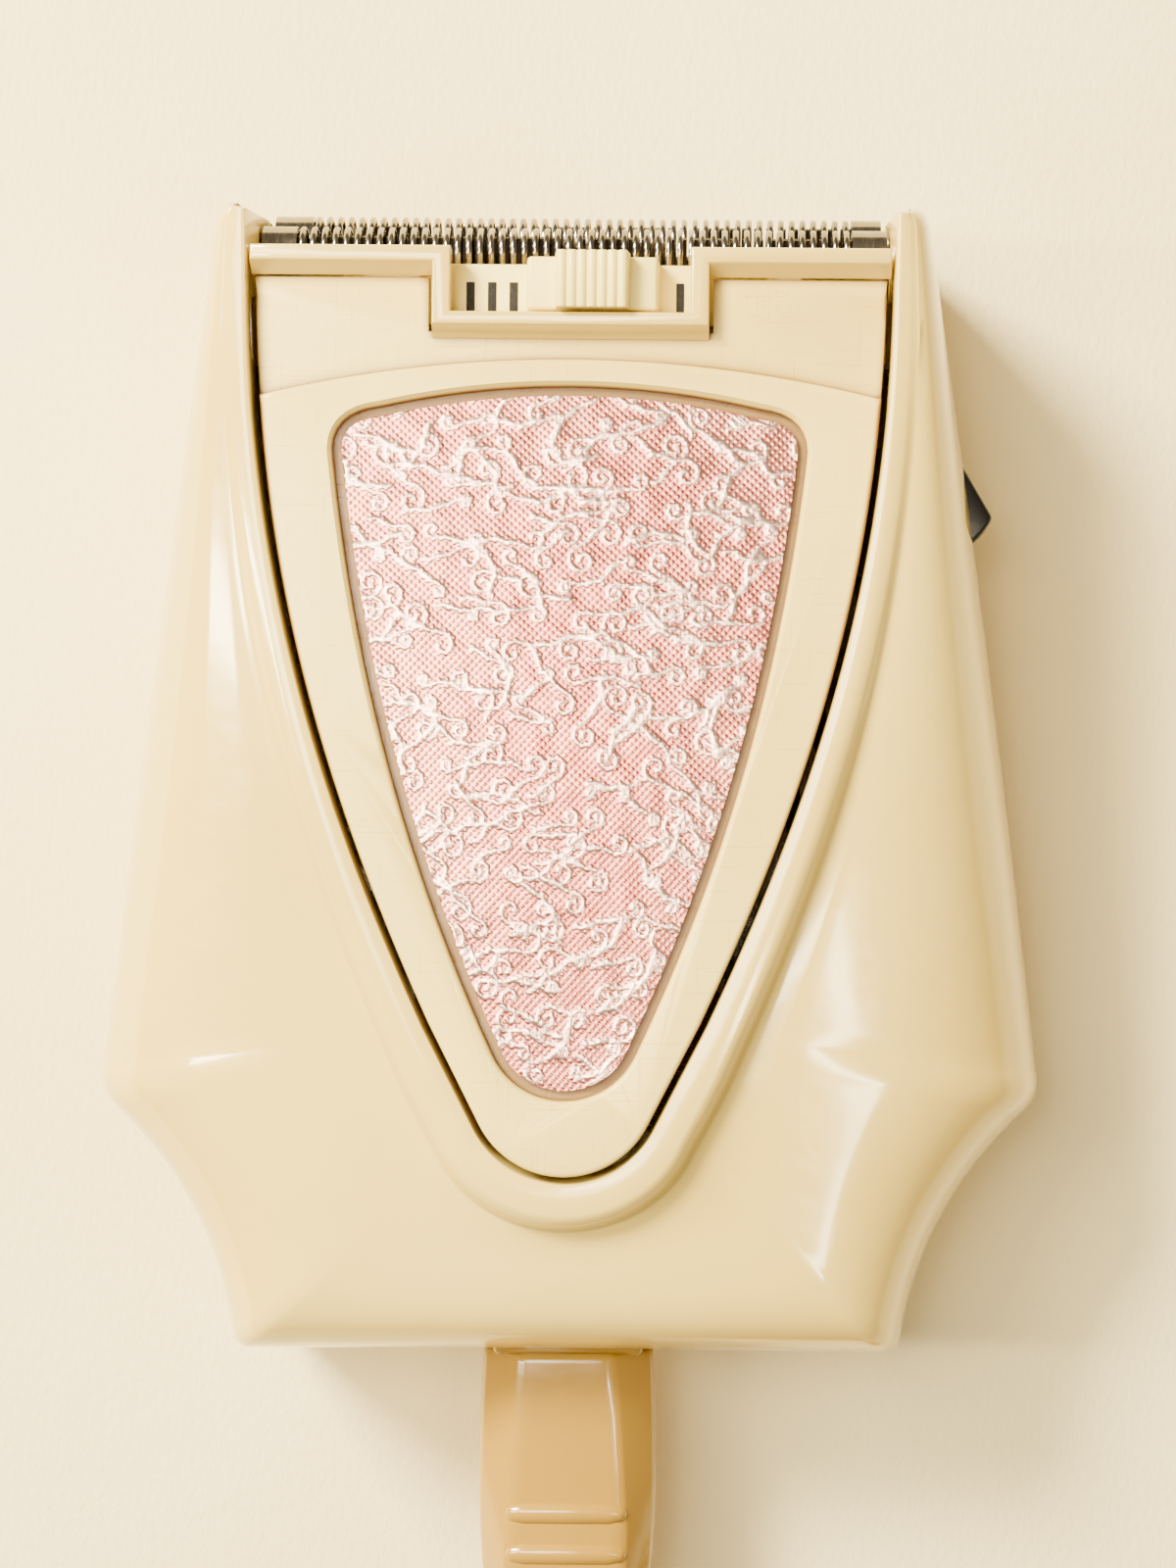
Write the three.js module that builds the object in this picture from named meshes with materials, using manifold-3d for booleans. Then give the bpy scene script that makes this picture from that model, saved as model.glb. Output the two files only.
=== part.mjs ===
// A ladies' mains shaver with a twin slotted head, lying on its back, with its detachable cord.
// Units are millimetres: +Z comes out of the front face, +Y points to the cutting head.
// Everything is drawn with Y = 0 at the base end. The exported group moves the origin to the
// middle of the body's footprint.

import * as THREE from "three";
import { mergeGeometries, mergeVertices } from "three/addons/utils/BufferGeometryUtils.js";
import Module from "manifold-3d";

const wasm = await Module();
wasm.setup();

// ---------------------------------------------------------------- driving dimensions

const BODY_LENGTH = 104.4; // base end to the top of the rear comb
const PARTING_Z = 14; // height where the front and back shells meet, the widest section
const GAP = 0.3; // between pieces that touch on the real shaver

const TIP_Y = 16.9; // bottom of the V opening in the front shell
const TIP_RADIUS = 8.8;
const FLANK_ANGLE = THREE.MathUtils.degToRad(26.6); // of the V's flank from Y, where the tip ends
const EAR_INSIDE_X = 28.4; // inner faces of the two ears that flank the head
const EAR_TOP_Y = 103.2;

const RIM_TIP_Z = 31.6; // height of the rim at the V's tip
const RIM_HEAD_Z = 30; // and beside the head
const SHELL_WALL = 2;
const LIP_DEPTH = 4; // how far the V's lip turns inwards

const SHIELD_GAP = 0.6; // between shield and rim
const SHIELD_TOP_Y = 95.9;
const PLATE_Z = 28.2; // flat upper part of the shield
const PAD_HEAD_Z = 28.9; // raised lower part, at its step
const PAD_TIP_Z = 32.4; // and at the V's tip
const PAD_STEP_Y = 85.4; // ends of the step's arc
const PAD_STEP_APEX_Y = 88.7;
const SHIELD_THICKNESS = 2.2;
const RECESS_DEPTH = 1.1;
const INLAY_THICKNESS = 0.4;
const INLAY_DEPTH = 0.55; // from the pad's face down to the inlay's face

const BAR_TOP_Y = 98.4; // front bar of the head frame
const BAR_FRONT_Z = 30;
const WINDOW_HALF_WIDTH = 10.5; // notch in the bar for the selector slide
const SLIDE_CENTRE_X = 1.9; // where the slide's thumb rests

const HEAD_TILT = THREE.MathUtils.degToRad(16); // the combs lean towards the front face
const HEAD_ORIGIN = new THREE.Vector3(0, 97, 13.75);
const COMB_OFFSET = 4.6; // each comb's centre from the head's middle plane
const COMB_HALF_LENGTH = 28.1;
const COMB_RADIUS = 2.3;
const COMB_TOP = 6.35; // above the head's origin, in the tilted frame
const COMB_SHEET = 0.45;
const COMB_SLOTS = 51;
const COMB_PITCH = 1;
const COMB_SLOT_WIDTH = 0.45;
const CUTTER_SLOTS = 43;
const CUTTER_PITCH = 1.15;

const LEVER_PIVOT_Y = 52;
const LEVER_Z = [11, 16.5];

const SWITCH_FOOT = new THREE.Vector2(35.45, 80.1); // on the side edge, beside the rocker's pivot
const SWITCH_TURN = THREE.MathUtils.degToRad(8.1); // slope of the side edge there
const ROCKER_DEPTH = 4.4; // pivot below the side surface
const ROCKER_TILT = THREE.MathUtils.degToRad(11.3); // from its middle position, as it rests
const ROCKER_RADIUS = 7.85; // its end walls are arcs about the pivot

const PIN_SPACING = 6.6; // inlet pins, centre to centre
const CONNECTOR_Z = 13;

const CORD_RADIUS = 2; // 4 mm round two-core cord, 1.65 m long
const CORD_EXIT_Y = -46;
const COIL_CENTRE = new THREE.Vector2(15.4, -99);
const COIL_OUTER_TURN = 28; // radius to the cord's centreline
const COIL_TURN_PITCH = 4.1;
const COIL_COLUMNS = 3;
const COIL_LAYERS = 4;
const COIL_LAYER_PITCH = 4.05;
const COIL_FLOOR_Z = 1; // the coil lies on its tie
const PLUG_X = 45;
const PLUG_Z = 7.5;
const BLADE_X = 6.35; // either side of the plug's middle

// ---------------------------------------------------------------- materials

const finish = (color, roughness, metalness = 0) =>
  new THREE.MeshStandardMaterial({ color, roughness, metalness });

const IVORY = finish(0xe9dcbc, 0.28);
const SHIELD_IVORY = finish(0xf0e6c0, 0.32);
const FOIL = finish(0xe3a596, 0.3, 0.85);
const STEEL = finish(0xb9bbbd, 0.25, 1);
const IRON = finish(0x5c5f63, 0.5, 0.9);
const COPPER = finish(0xb4672f, 0.35, 0.9);
const BRASS = finish(0xc2a04e, 0.3, 1);
const BLACK = finish(0x121110, 0.4);
const TAN = finish(0xc9a46a, 0.4);
const PHENOLIC = finish(0x4b2d1e, 0.5);
const CREAM_CORE = finish(0xd8cdb4, 0.5);

// ---------------------------------------------------------------- solids

const v2 = (x, y) => new THREE.Vector2(x, y);
const v3 = (x, y, z) => new THREE.Vector3(x, y, z);
const { degToRad, lerp, clamp } = THREE.MathUtils;

/** A manifold-3d solid of a closed three.js geometry, turned to face out. */
function solid(geometry) {
  const source = geometry.index ? geometry.toNonIndexed() : geometry;
  const bare = new THREE.BufferGeometry();
  bare.setAttribute("position", source.getAttribute("position"));
  const merged = mergeVertices(bare, 1e-4);
  const vertProperties = merged.attributes.position.array;
  const triVerts = new Uint32Array(merged.index.array);
  const made = new wasm.Manifold(new wasm.Mesh({ numProp: 3, vertProperties, triVerts }));
  if (made.volume() > 0) return made;
  return new wasm.Manifold(
    new wasm.Mesh({ numProp: 3, vertProperties, triVerts: triVerts.reverse() }),
  );
}

/** A three.js geometry of a manifold-3d solid. */
function geometryOf(made) {
  const { numProp, vertProperties, triVerts } = made.getMesh();
  const positions = new Float32Array((vertProperties.length / numProp) * 3);
  for (let i = 0; i < positions.length / 3; i += 1) {
    positions.set(vertProperties.subarray(i * numProp, i * numProp + 3), i * 3);
  }
  const geometry = new THREE.BufferGeometry();
  geometry.setAttribute("position", new THREE.BufferAttribute(positions, 3));
  geometry.setIndex(new THREE.BufferAttribute(triVerts, 1));
  return geometry;
}

/** A named mesh from a geometry or a manifold-3d solid. */
function piece(name, shape, material) {
  const geometry = shape.isBufferGeometry ? shape : geometryOf(shape);
  const mesh = new THREE.Mesh(geometry, material.clone());
  mesh.name = name;
  return mesh;
}

/** A box between two values along each axis. */
function blockGeometry([x0, x1], [y0, y1], [z0, z1]) {
  const geometry = new THREE.BoxGeometry(x1 - x0, y1 - y0, z1 - z0);
  return geometry.translate((x0 + x1) / 2, (y0 + y1) / 2, (z0 + z1) / 2);
}

const block = (...ranges) => solid(blockGeometry(...ranges));

/** A round rod between two points. */
function rod(radius, from, to, sides = 16) {
  const along = to.clone().sub(from);
  const geometry = new THREE.CylinderGeometry(radius, radius, along.length(), sides);
  const turn = new THREE.Quaternion().setFromUnitVectors(v3(0, 1, 0), along.clone().normalize());
  const middle = from.clone().lerp(to, 0.5);
  return solid(geometry.applyQuaternion(turn).translate(middle.x, middle.y, middle.z));
}

/** A straight prism of an outline in the XY plane. */
function prism(outline, [z0, z1]) {
  const settings = { depth: z1 - z0, bevelEnabled: false };
  return solid(new THREE.ExtrudeGeometry(new THREE.Shape(outline), settings).translate(0, 0, z0));
}

/** A prism along X of an outline whose points are (y, z). */
function prismAlongX(outline, [x0, x1]) {
  const settings = { depth: x1 - x0, bevelEnabled: false };
  const geometry = new THREE.ExtrudeGeometry(new THREE.Shape(outline), settings);
  const basis = new THREE.Matrix4().makeBasis(v3(0, 1, 0), v3(0, 0, 1), v3(1, 0, 0));
  return solid(geometry.applyMatrix4(basis).translate(x0, 0, 0));
}

/** A solid of revolution about the Z axis through a point, from (radius, z) pairs. */
function turned(profile, x, y, sides = 20) {
  const points = profile.map(([radius, z]) => v2(radius, z));
  const geometry = new THREE.LatheGeometry(points, sides);
  return solid(geometry.rotateX(Math.PI / 2).translate(x, y, 0));
}

/** A closed solid through rings of equal length, with flat ends. flatten gives a ring's plane. */
function loft(rings, flatten) {
  const count = rings[0].length;
  const positions = rings.flat().flatMap((point) => [point.x, point.y, point.z]);
  const triangles = [];
  for (let ring = 0; ring + 1 < rings.length; ring += 1) {
    for (let i = 0; i < count; i += 1) {
      const a = ring * count + i;
      const b = ring * count + ((i + 1) % count);
      triangles.push(a, b, b + count, a, b + count, a + count);
    }
  }
  const first = capFaces(rings[0], flatten);
  const last = capFaces(rings.at(-1), flatten);
  const offset = (rings.length - 1) * count;
  const wound = windingOf(rings[0], flatten);
  for (const [a, b, c] of first) triangles.push(...(wound ? [a, c, b] : [a, b, c]));
  for (const face of last) {
    const [a, b, c] = face.map((index) => index + offset);
    triangles.push(...(wound ? [a, b, c] : [a, c, b]));
  }
  const geometry = new THREE.BufferGeometry();
  geometry.setAttribute("position", new THREE.Float32BufferAttribute(positions, 3));
  geometry.setIndex(triangles);
  return solid(geometry);
}

const windingOf = (ring, flatten) => !THREE.ShapeUtils.isClockWise(ring.map(flatten));

/** Triangles of a flat ring, wound as the ring itself would be if it ran counter-clockwise. */
function capFaces(ring, flatten) {
  const flat = ring.map(flatten);
  const clockwise = THREE.ShapeUtils.isClockWise(flat);
  const indices = flat.map((_, i) => i);
  if (clockwise) indices.reverse();
  const faces = THREE.ShapeUtils.triangulateShape(
    indices.map((i) => flat[i]),
    [],
  );
  return faces.map((face) => {
    const [a, b, c] = face.map((k) => indices[k]);
    return clockwise ? [a, c, b] : [a, b, c];
  });
}

/** Value at y on a broken line through [y, value] knots. */
function ramp(y, knots) {
  const next = knots.findIndex(([at]) => at > y);
  if (next === -1) return knots.at(-1)[1];
  if (next === 0) return knots[0][1];
  const [[y0, a], [y1, b]] = [knots[next - 1], knots[next]];
  return lerp(a, b, (y - y0) / (y1 - y0));
}

/** The outline moved outwards by a distance along its own normals. Counter-clockwise outlines. */
function grown(outline, distance) {
  return outline.map((point, i) => {
    const before = outline.at(i - 1);
    const after = outline[(i + 1) % outline.length];
    const along = after.clone().sub(before).normalize();
    return v2(point.x + along.y * distance, point.y - along.x * distance);
  });
}

/** A closed, counter-clockwise outline from a right half that runs from bottom to top. */
function mirrored(half) {
  const left = half.filter((point) => point.x > 0.01).map((point) => v2(-point.x, point.y));
  return [...half, ...left.reverse()];
}

// ---------------------------------------------------------------- outlines of the housing

// The right half of the V opening, from its tip to the end of the ear.
const flankStart = v2(
  TIP_RADIUS * Math.cos(FLANK_ANGLE),
  TIP_Y + TIP_RADIUS - TIP_RADIUS * Math.sin(FLANK_ANGLE),
);
const tipArc = new THREE.EllipseCurve(
  0, TIP_Y + TIP_RADIUS, TIP_RADIUS, TIP_RADIUS, -Math.PI / 2, -FLANK_ANGLE,
);
const flankEnd = v2(12.3, 30.4);
const flank = new THREE.LineCurve(flankStart, flankEnd);
const shoulder = new THREE.CubicBezierCurve(flankEnd, v2(22.6, 52.4), v2(28.1, 72), v2(28.3, 96));
const earSide = new THREE.LineCurve(v2(28.3, 96), v2(EAR_INSIDE_X, EAR_TOP_Y));

// The right half of the silhouette, from the middle of the base end to the ear.
const baseEdge = new THREE.LineCurve(v2(0, 0), v2(28.9, 0));
const baseCorner = new THREE.QuadraticBezierCurve(v2(28.9, 0), v2(30.2, 0), v2(30.5, 1.6));
const waist = new THREE.CubicBezierCurve(
  v2(30.5, 1.6), v2(31.6, 8.5), v2(34.5, 15.5), v2(41.4, 21.8),
);
const wingTip = new THREE.QuadraticBezierCurve(v2(41.4, 21.8), v2(43.3, 23.4), v2(42.7, 25.8));
const longSide = new THREE.QuadraticBezierCurve(v2(42.7, 25.8), v2(38.5, 62), v2(32.35, 101.2));
const earCorner = new THREE.QuadraticBezierCurve(
  v2(32.35, 101.2), v2(32, EAR_TOP_Y), v2(30.7, EAR_TOP_Y),
);

// Inner edge of the back's rounding: the flat that the shaver rests on lies inside it.
const restHalf = new THREE.SplineCurve([
  v2(0, 7), v2(20, 7), v2(24, 11), v2(28, 22), v2(32, 31), v2(31, 55), v2(EAR_INSIDE_X, 95),
]);
const restEar = new THREE.LineCurve(v2(EAR_INSIDE_X, 95), v2(EAR_INSIDE_X, EAR_TOP_Y));

// Stretches of the opening and of the back's flat, each paired with its stretch of the silhouette.
// roundness is the power of the rounding across the wing: 2 is an ellipse, more is boxier.
// lean is how far the front's wall leans inwards, per unit of height.
const SPANS = [
  {
    opening: [tipArc, 0, 1],
    rest: [restHalf, 0, 0.17],
    edge: [baseEdge, 0, 1],
    steps: 6,
    roundness: [4.5, 4.5],
    lean: [0.1, 0.1],
  },
  {
    opening: [flank, 0, 0.15],
    rest: [restHalf, 0.17, 0.22],
    edge: [baseCorner, 0, 1],
    steps: 2,
    roundness: [4.5, 4],
    lean: [0.1, 0.06],
  },
  {
    opening: [flank, 0.15, 0.8],
    rest: [restHalf, 0.22, 0.45],
    edge: [waist, 0, 1],
    steps: 6,
    roundness: [4, 2.6],
    lean: [0.06, 0],
  },
  {
    opening: [flank, 0.8, 1],
    rest: [restHalf, 0.45, 0.5],
    edge: [wingTip, 0, 1],
    steps: 3,
    roundness: [2.6, 2.4],
    lean: [0, 0],
  },
  {
    opening: [shoulder, 0, 1],
    rest: [restHalf, 0.5, 1],
    edge: [longSide, 0, 0.93],
    steps: 9,
    roundness: [2.4, 2.4],
    lean: [0, 0.02],
  },
  {
    opening: [earSide, 0, 0.7],
    rest: [restEar, 0, 0.7],
    edge: [longSide, 0.93, 1],
    steps: 1,
    roundness: [2.4, 2.5],
    lean: [0.02, 0.02],
  },
  {
    opening: [earSide, 0.7, 1],
    rest: [restEar, 0.7, 1],
    edge: [earCorner, 0, 1],
    steps: 3,
    roundness: [2.5, 2.5],
    lean: [0.02, 0.02],
  },
];

const pointOn = ([curve, from, to], t) => curve.getPoint(lerp(from, to, t));

/** Stations round the right half of the housing, from the middle of the base end to the ear. */
function rightStations() {
  const stations = [];
  for (const { opening, rest, edge, steps, roundness, lean } of SPANS) {
    for (let step = stations.length ? 1 : 0; step <= steps; step += 1) {
      const t = step / steps;
      stations.push({
        opening: pointOn(opening, t),
        rest: pointOn(rest, t),
        edge: pointOn(edge, t),
        power: lerp(...roundness, t),
        lean: lerp(...lean, t),
      });
    }
  }
  return stations;
}

/** All stations, from the left ear round the base end to the right ear. */
function allStations() {
  const flip = (point) => v2(-point.x, point.y);
  const right = rightStations();
  const left = right.slice(1).map(({ opening, rest, edge, ...form }) => ({
    opening: flip(opening),
    rest: flip(rest),
    edge: flip(edge),
    ...form,
  }));
  return [...left.reverse(), ...right];
}

const rimHeight = (y) => ramp(y, [[14, RIM_TIP_Z], [96, RIM_HEAD_Z]]);
const rimStep = (y) => ramp(y, [[14, 2.6], [96, 0.4]]);
const rimWidth = (y) => ramp(y, [[17, 3.2], [68, 1.5], [90, 0.8]]);
const lipBottom = (y) =>
  y > 95 ? PARTING_Z + GAP / 2 : rimHeight(y) - rimStep(y) - LIP_DEPTH;

const ROUNDING_ANGLES = [30, 52, 72, 90].map(degToRad);

/** Distance and height on the wing's rounding, between two distances, for an angle of 0 to 90 deg. */
function rounding(angle, power, from, to, top, bottom) {
  const out = Math.sin(angle) ** (2 / power);
  const up = Math.max(Math.cos(angle), 0) ** (2 / power);
  return [lerp(from, to, out), lerp(bottom, top, up)];
}

/** How far the tip of an ear falls back at a height, as its end is rounded towards the front. */
const earDrop = (y, z) => clamp((y - 97) / 6, 0, 1) * 0.022 * Math.max(z - 21, 0) ** 2;

/** Closed section of the front shell at a station: its skin, then its inside back to the lip. */
function frontSection({ opening, edge, power, lean }) {
  const reach = opening.distanceTo(edge);
  const wall = Math.min(SHELL_WALL, 0.3 * reach);
  const rim = rimHeight(opening.y);
  const foot = rim - rimStep(opening.y);
  const bottom = PARTING_Z + GAP / 2;
  const rimEnd = rimWidth(opening.y);
  const footAt = rimEnd + Math.min(1.2, 0.2 * reach);
  const insideFoot = Math.max(footAt, wall + 0.4);
  const lip = lipBottom(opening.y);
  const ceiling = foot - wall;
  const outside = [[0, lip], [0, rim], [rimEnd, rim], [footAt, foot]];
  const inside = [[wall, lip], [wall, ceiling], [wall + 0.2, ceiling], [insideFoot, ceiling]];
  for (const angle of ROUNDING_ANGLES) {
    outside.push(rounding(angle, power, footAt, reach, foot, bottom));
    inside.push(rounding(angle, power, insideFoot, reach - wall, ceiling, bottom));
  }
  return [...outside, ...inside.reverse()].map(([distance, z]) => {
    const leant = distance - lean * (z - bottom) * (distance / reach) ** 2;
    const at = opening.clone().lerp(edge, leant / reach);
    return v3(at.x, at.y - earDrop(at.y, z), z);
  });
}

/** Points from the silhouette at the parting line down to the flat back, at a station. */
function backSection({ rest, edge, power }, wall, top) {
  const reach = rest.distanceTo(edge);
  return [...ROUNDING_ANGLES, 0].sort((a, b) => b - a).map((angle) => {
    const [distance, drop] = rounding(angle, power, 0, reach - wall, PARTING_Z - wall, 0);
    const z = angle > 1.57 ? top : PARTING_Z - drop;
    const at = rest.clone().lerp(edge, distance / reach);
    return v3(at.x, at.y, z);
  });
}

/** The back's outer form, or its inside when a wall is given. */
function backForm(wall, top) {
  const sections = allStations().map((station) => backSection(station, wall, top));
  const rings = sections[0].map((_, level) => sections.map((section) => section[level]));
  return loft(rings, (point) => v2(point.x, point.y));
}

// ---------------------------------------------------------------- frames of the head and the switch

const headMatrix = new THREE.Matrix4()
  .makeRotationX(HEAD_TILT)
  .setPosition(HEAD_ORIGIN);

/** A box in the head's tilted frame: across the shaver, out of the head, towards the front face. */
function headBlock(across, out, front) {
  return solid(blockGeometry(across, out, front).applyMatrix4(headMatrix));
}

/** A prism along X in the head's tilted frame, from (out, front) points. */
function headPrism(outline, range) {
  return solid(geometryOf(prismAlongX(outline, range)).applyMatrix4(headMatrix));
}

const switchMatrix = new THREE.Matrix4()
  .makeRotationZ(SWITCH_TURN)
  .setPosition(SWITCH_FOOT.x, SWITCH_FOOT.y, 0);

/** A box in the switch's frame: +X out of the side wall, +Y along it to the head. */
const switchBlock = (...ranges) => solid(blockGeometry(...ranges).applyMatrix4(switchMatrix));

/** A prism along Z in the switch's frame. */
const switchPrism = (outline, heights) =>
  solid(geometryOf(prism(outline, heights)).applyMatrix4(switchMatrix));

const onSwitch = (x, y, z) => v3(x, y, z).applyMatrix4(switchMatrix);

// ---------------------------------------------------------------- housing

const SCREW_PLACES = [v2(-25, 9), v2(25, 9), v2(-31, 62), v2(31, 62)];
const SCREW_TOP_Z = 20;
const BOSS_RADIUS = 3.2;

const rockerWindow = () => switchBlock([-4, 5], [-8, 8], [9.3, 18.7]);
const inletOpening = () => block([-7.4, 7.4], [-2, SHELL_WALL + 1], [8.7, 17.3]);

function frontShell() {
  const flatten = (point) => v2(point.x, point.z);
  let shell = loft(allStations().map(frontSection), flatten);
  for (const { x, y } of SCREW_PLACES) {
    const bossTop = y < 20 ? 27 : 26;
    shell = shell.add(rod(BOSS_RADIUS, v3(x, y, PARTING_Z + GAP / 2), v3(x, y, bossTop)));
  }
  for (const { x, y } of SCREW_PLACES) {
    shell = shell.subtract(rod(1.7, v3(x, y, PARTING_Z - 1), v3(x, y, SCREW_TOP_Z + 1)));
  }
  return shell.subtract(rockerWindow()).subtract(inletOpening());
}

/** Countersunk hole for a housing screw, through the back and its boss. */
const screwHole = (place) =>
  turned([[0, -1], [3.6, -1], [3.6, 1.4], [1.8, 3], [1.8, 15], [0, 15]], place.x, place.y);

const BRACKET_SCREW_X = 12.5;
const BRACKET_SCREW_Y = 55;

function backShell() {
  const top = PARTING_Z - GAP / 2;
  const inside = backForm(SHELL_WALL, PARTING_Z + 2).intersect(block([-50, 50], [0, 90], [0, 40]));
  let shell = backForm(0, top)
    .subtract(block([-EAR_INSIDE_X, EAR_INSIDE_X], [100, 110], [-1, 20]))
    .subtract(inside)
    .subtract(block([-EAR_INSIDE_X, EAR_INSIDE_X], [88.5, 110], [3.7, 20]));
  for (const place of SCREW_PLACES) {
    shell = shell.add(rod(BOSS_RADIUS + 1.6, v3(place.x, place.y, 1), v3(place.x, place.y, top)));
  }
  const withBosses = shell.intersect(backForm(0, top));
  shell = SCREW_PLACES.reduce((made, place) => made.subtract(screwHole(place)), withBosses);
  for (const x of [-BRACKET_SCREW_X, BRACKET_SCREW_X]) {
    shell = shell.subtract(rod(1.3, v3(x, BRACKET_SCREW_Y, 0.5), v3(x, BRACKET_SCREW_Y, 4), 10));
  }
  return shell.subtract(rockerWindow()).subtract(inletOpening());
}

function housingScrew({ x, y }) {
  const head = [[0, 0.6], [2.9, 0.6], [2.9, 1.2], [1.3, 2.6]];
  const shank = [[1.3, SCREW_TOP_Z - 1], [0.4, SCREW_TOP_Z], [0, SCREW_TOP_Z]];
  const slot = block([x - 2.2, x + 2.2], [y - 0.4, y + 0.4], [0, 1.3]);
  return turned([...head, ...shank], x, y, 14).subtract(slot);
}

// ---------------------------------------------------------------- shield and its inlay

/** Half width of the V opening beside the shield at a height above the V's flanks. */
const openingHalfWidth = (y) => shoulder.getPoints(80).find((point) => point.y >= y).x;

/** Right half of the shield's outline up to a height, following the V opening with a gap. */
function shieldHalf(topY) {
  const half = [
    ...tipArc.getPoints(6),
    ...flank.getPoints(1).slice(1),
    ...shoulder.getPoints(12).slice(1),
  ];
  const moved = grown(mirrored(half), -SHIELD_GAP);
  const right = moved.slice(0, half.length - 1).filter(({ y }) => y < topY - 1);
  right[0].x = 0;
  return [...right, v2(openingHalfWidth(topY) - SHIELD_GAP, topY)];
}

const padHeight = (y) => ramp(y, [[TIP_Y, PAD_TIP_Z], [PAD_STEP_Y, PAD_HEAD_Z]]);

/** Right half of an arc that bulges to the head, from its end to the middle. */
function archHalf(halfWidth, endY, apexY, steps) {
  const rise = apexY - endY;
  const radius = (halfWidth ** 2 + rise ** 2) / (2 * rise);
  const points = [];
  for (let i = 0; i <= steps; i += 1) {
    const x = halfWidth * (1 - i / steps);
    points.push(v2(x, apexY - radius + Math.sqrt(radius ** 2 - x ** 2)));
  }
  return points;
}

/** Right half of the inlay's outline: round tip, bowed flank, round corner and arched top. */
function inlayHalf() {
  const tip = new THREE.EllipseCurve(0, 30.9, 6, 6, -Math.PI / 2, degToRad(-24));
  const side = new THREE.CubicBezierCurve(v2(5.48, 28.46), v2(11.6, 41.5), v2(17.4, 58), v2(19.9, 80));
  const corner = new THREE.QuadraticBezierCurve(v2(19.9, 80), v2(20.4, 83.2), v2(16.6, 83.6));
  return [
    ...tip.getPoints(6),
    ...side.getPoints(8).slice(1),
    ...corner.getPoints(4).slice(1),
    ...archHalf(16.6, 83.6, 85.5, 4).slice(1),
  ];
}

/** A prism whose top and bottom follow the pad's slope at the given depths under its surface. */
function slopedPrism(outline, underTop, underBottom) {
  const settings = { depth: 1, bevelEnabled: false };
  const geometry = new THREE.ExtrudeGeometry(new THREE.Shape(outline), settings);
  const position = geometry.getAttribute("position");
  for (let i = 0; i < position.count; i += 1) {
    const depth = position.getZ(i) > 0.5 ? underTop : underBottom;
    position.setZ(i, padHeight(position.getY(i)) - depth);
  }
  return solid(geometry);
}

function shieldPanel() {
  const upper = mirrored(shieldHalf(SHIELD_TOP_Y)).filter(({ y }) => y > 60);
  const notch = block([-12.5, 12.5], [91.1, 100], [20, 40]);
  const plate = prism(upper, [PLATE_Z - 1, PLATE_Z]).subtract(notch);
  const lower = shieldHalf(PAD_STEP_Y);
  const arch = archHalf(lower.at(-1).x, PAD_STEP_Y, PAD_STEP_APEX_Y, 5).slice(1);
  const pad = slopedPrism(mirrored([...lower, ...arch]), 0, SHIELD_THICKNESS);
  const recess = grown(mirrored(inlayHalf()), 0.9);
  return plate.add(pad).subtract(slopedPrism(recess, -5, RECESS_DEPTH));
}

const foilInlay = () =>
  slopedPrism(mirrored(inlayHalf()), INLAY_DEPTH, INLAY_DEPTH + INLAY_THICKNESS);

// ---------------------------------------------------------------- head

/** Front bar of the head frame with its U-shaped notch, as an outline. */
function barOutline() {
  const [outer, inner] = [12.1, WINDOW_HALF_WIDTH];
  const [barLow, notchLow, lipLow] = [97, 92.7, 91.5];
  return [
    v2(-28, barLow), v2(-outer, barLow), v2(-outer, lipLow), v2(outer, lipLow), v2(outer, barLow),
    v2(28, barLow), v2(28, BAR_TOP_Y), v2(inner, BAR_TOP_Y), v2(inner, notchLow),
    v2(-inner, notchLow), v2(-inner, BAR_TOP_Y), v2(-28, BAR_TOP_Y),
  ];
}

function headFrame() {
  const side = [v2(88.9, 4), v2(99.9, 4), v2(99.9, 6.4), v2(97.2, 22), v2(97.2, 25), v2(88.9, 25)];
  const ring = prismAlongX(side, [-27.9, 27.9])
    .subtract(block([-26.3, 26.3], [80, 110], [5.7, 22.6]))
    .subtract(headBlock([-30, 30], [-1.1, 14], [-7.3, 8.9]));
  const posts = [[-28, -20.2], [20.2, 28]].map((x) => block(x, [96.3, BAR_TOP_Y], [24.8, 27.5]));
  const bar = prism(barOutline(), [27.4, BAR_FRONT_Z]);
  return posts.reduce((made, post) => made.add(post), ring).add(bar);
}

const ARCH_ANGLES = [180, 120, 60, 0].map(degToRad);

/** Outline of an inverted U in (out, front) coordinates, open at its foot. */
function archOutline(centre, radius, sheet, foot, springLine) {
  const arc = (r) =>
    ARCH_ANGLES.map((a) => v2(springLine + r * Math.sin(a), centre + r * Math.cos(a)));
  const inner = radius - sheet;
  return [
    v2(foot, centre - radius), ...arc(radius), v2(foot, centre + radius),
    v2(foot, centre + inner), ...arc(inner).reverse(), v2(foot, centre - inner),
  ];
}

/** Boxes that cut a row of slots, in the head's frame. */
function slotRow(count, pitch, width, bottom, centre) {
  const boxes = [];
  for (let i = 0; i < count; i += 1) {
    const x = (i - (count - 1) / 2) * pitch;
    boxes.push(blockGeometry([x - width / 2, x + width / 2], [bottom, 12], [centre - 4, centre + 4]));
  }
  return solid(mergeGeometries(boxes).applyMatrix4(headMatrix));
}

function comb(centre) {
  const outline = archOutline(centre, COMB_RADIUS, COMB_SHEET, -0.7, COMB_TOP - COMB_RADIUS);
  return headPrism(outline, [-COMB_HALF_LENGTH, COMB_HALF_LENGTH])
    .subtract(slotRow(COMB_SLOTS, COMB_PITCH, COMB_SLOT_WIDTH, 1.5, centre));
}

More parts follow.
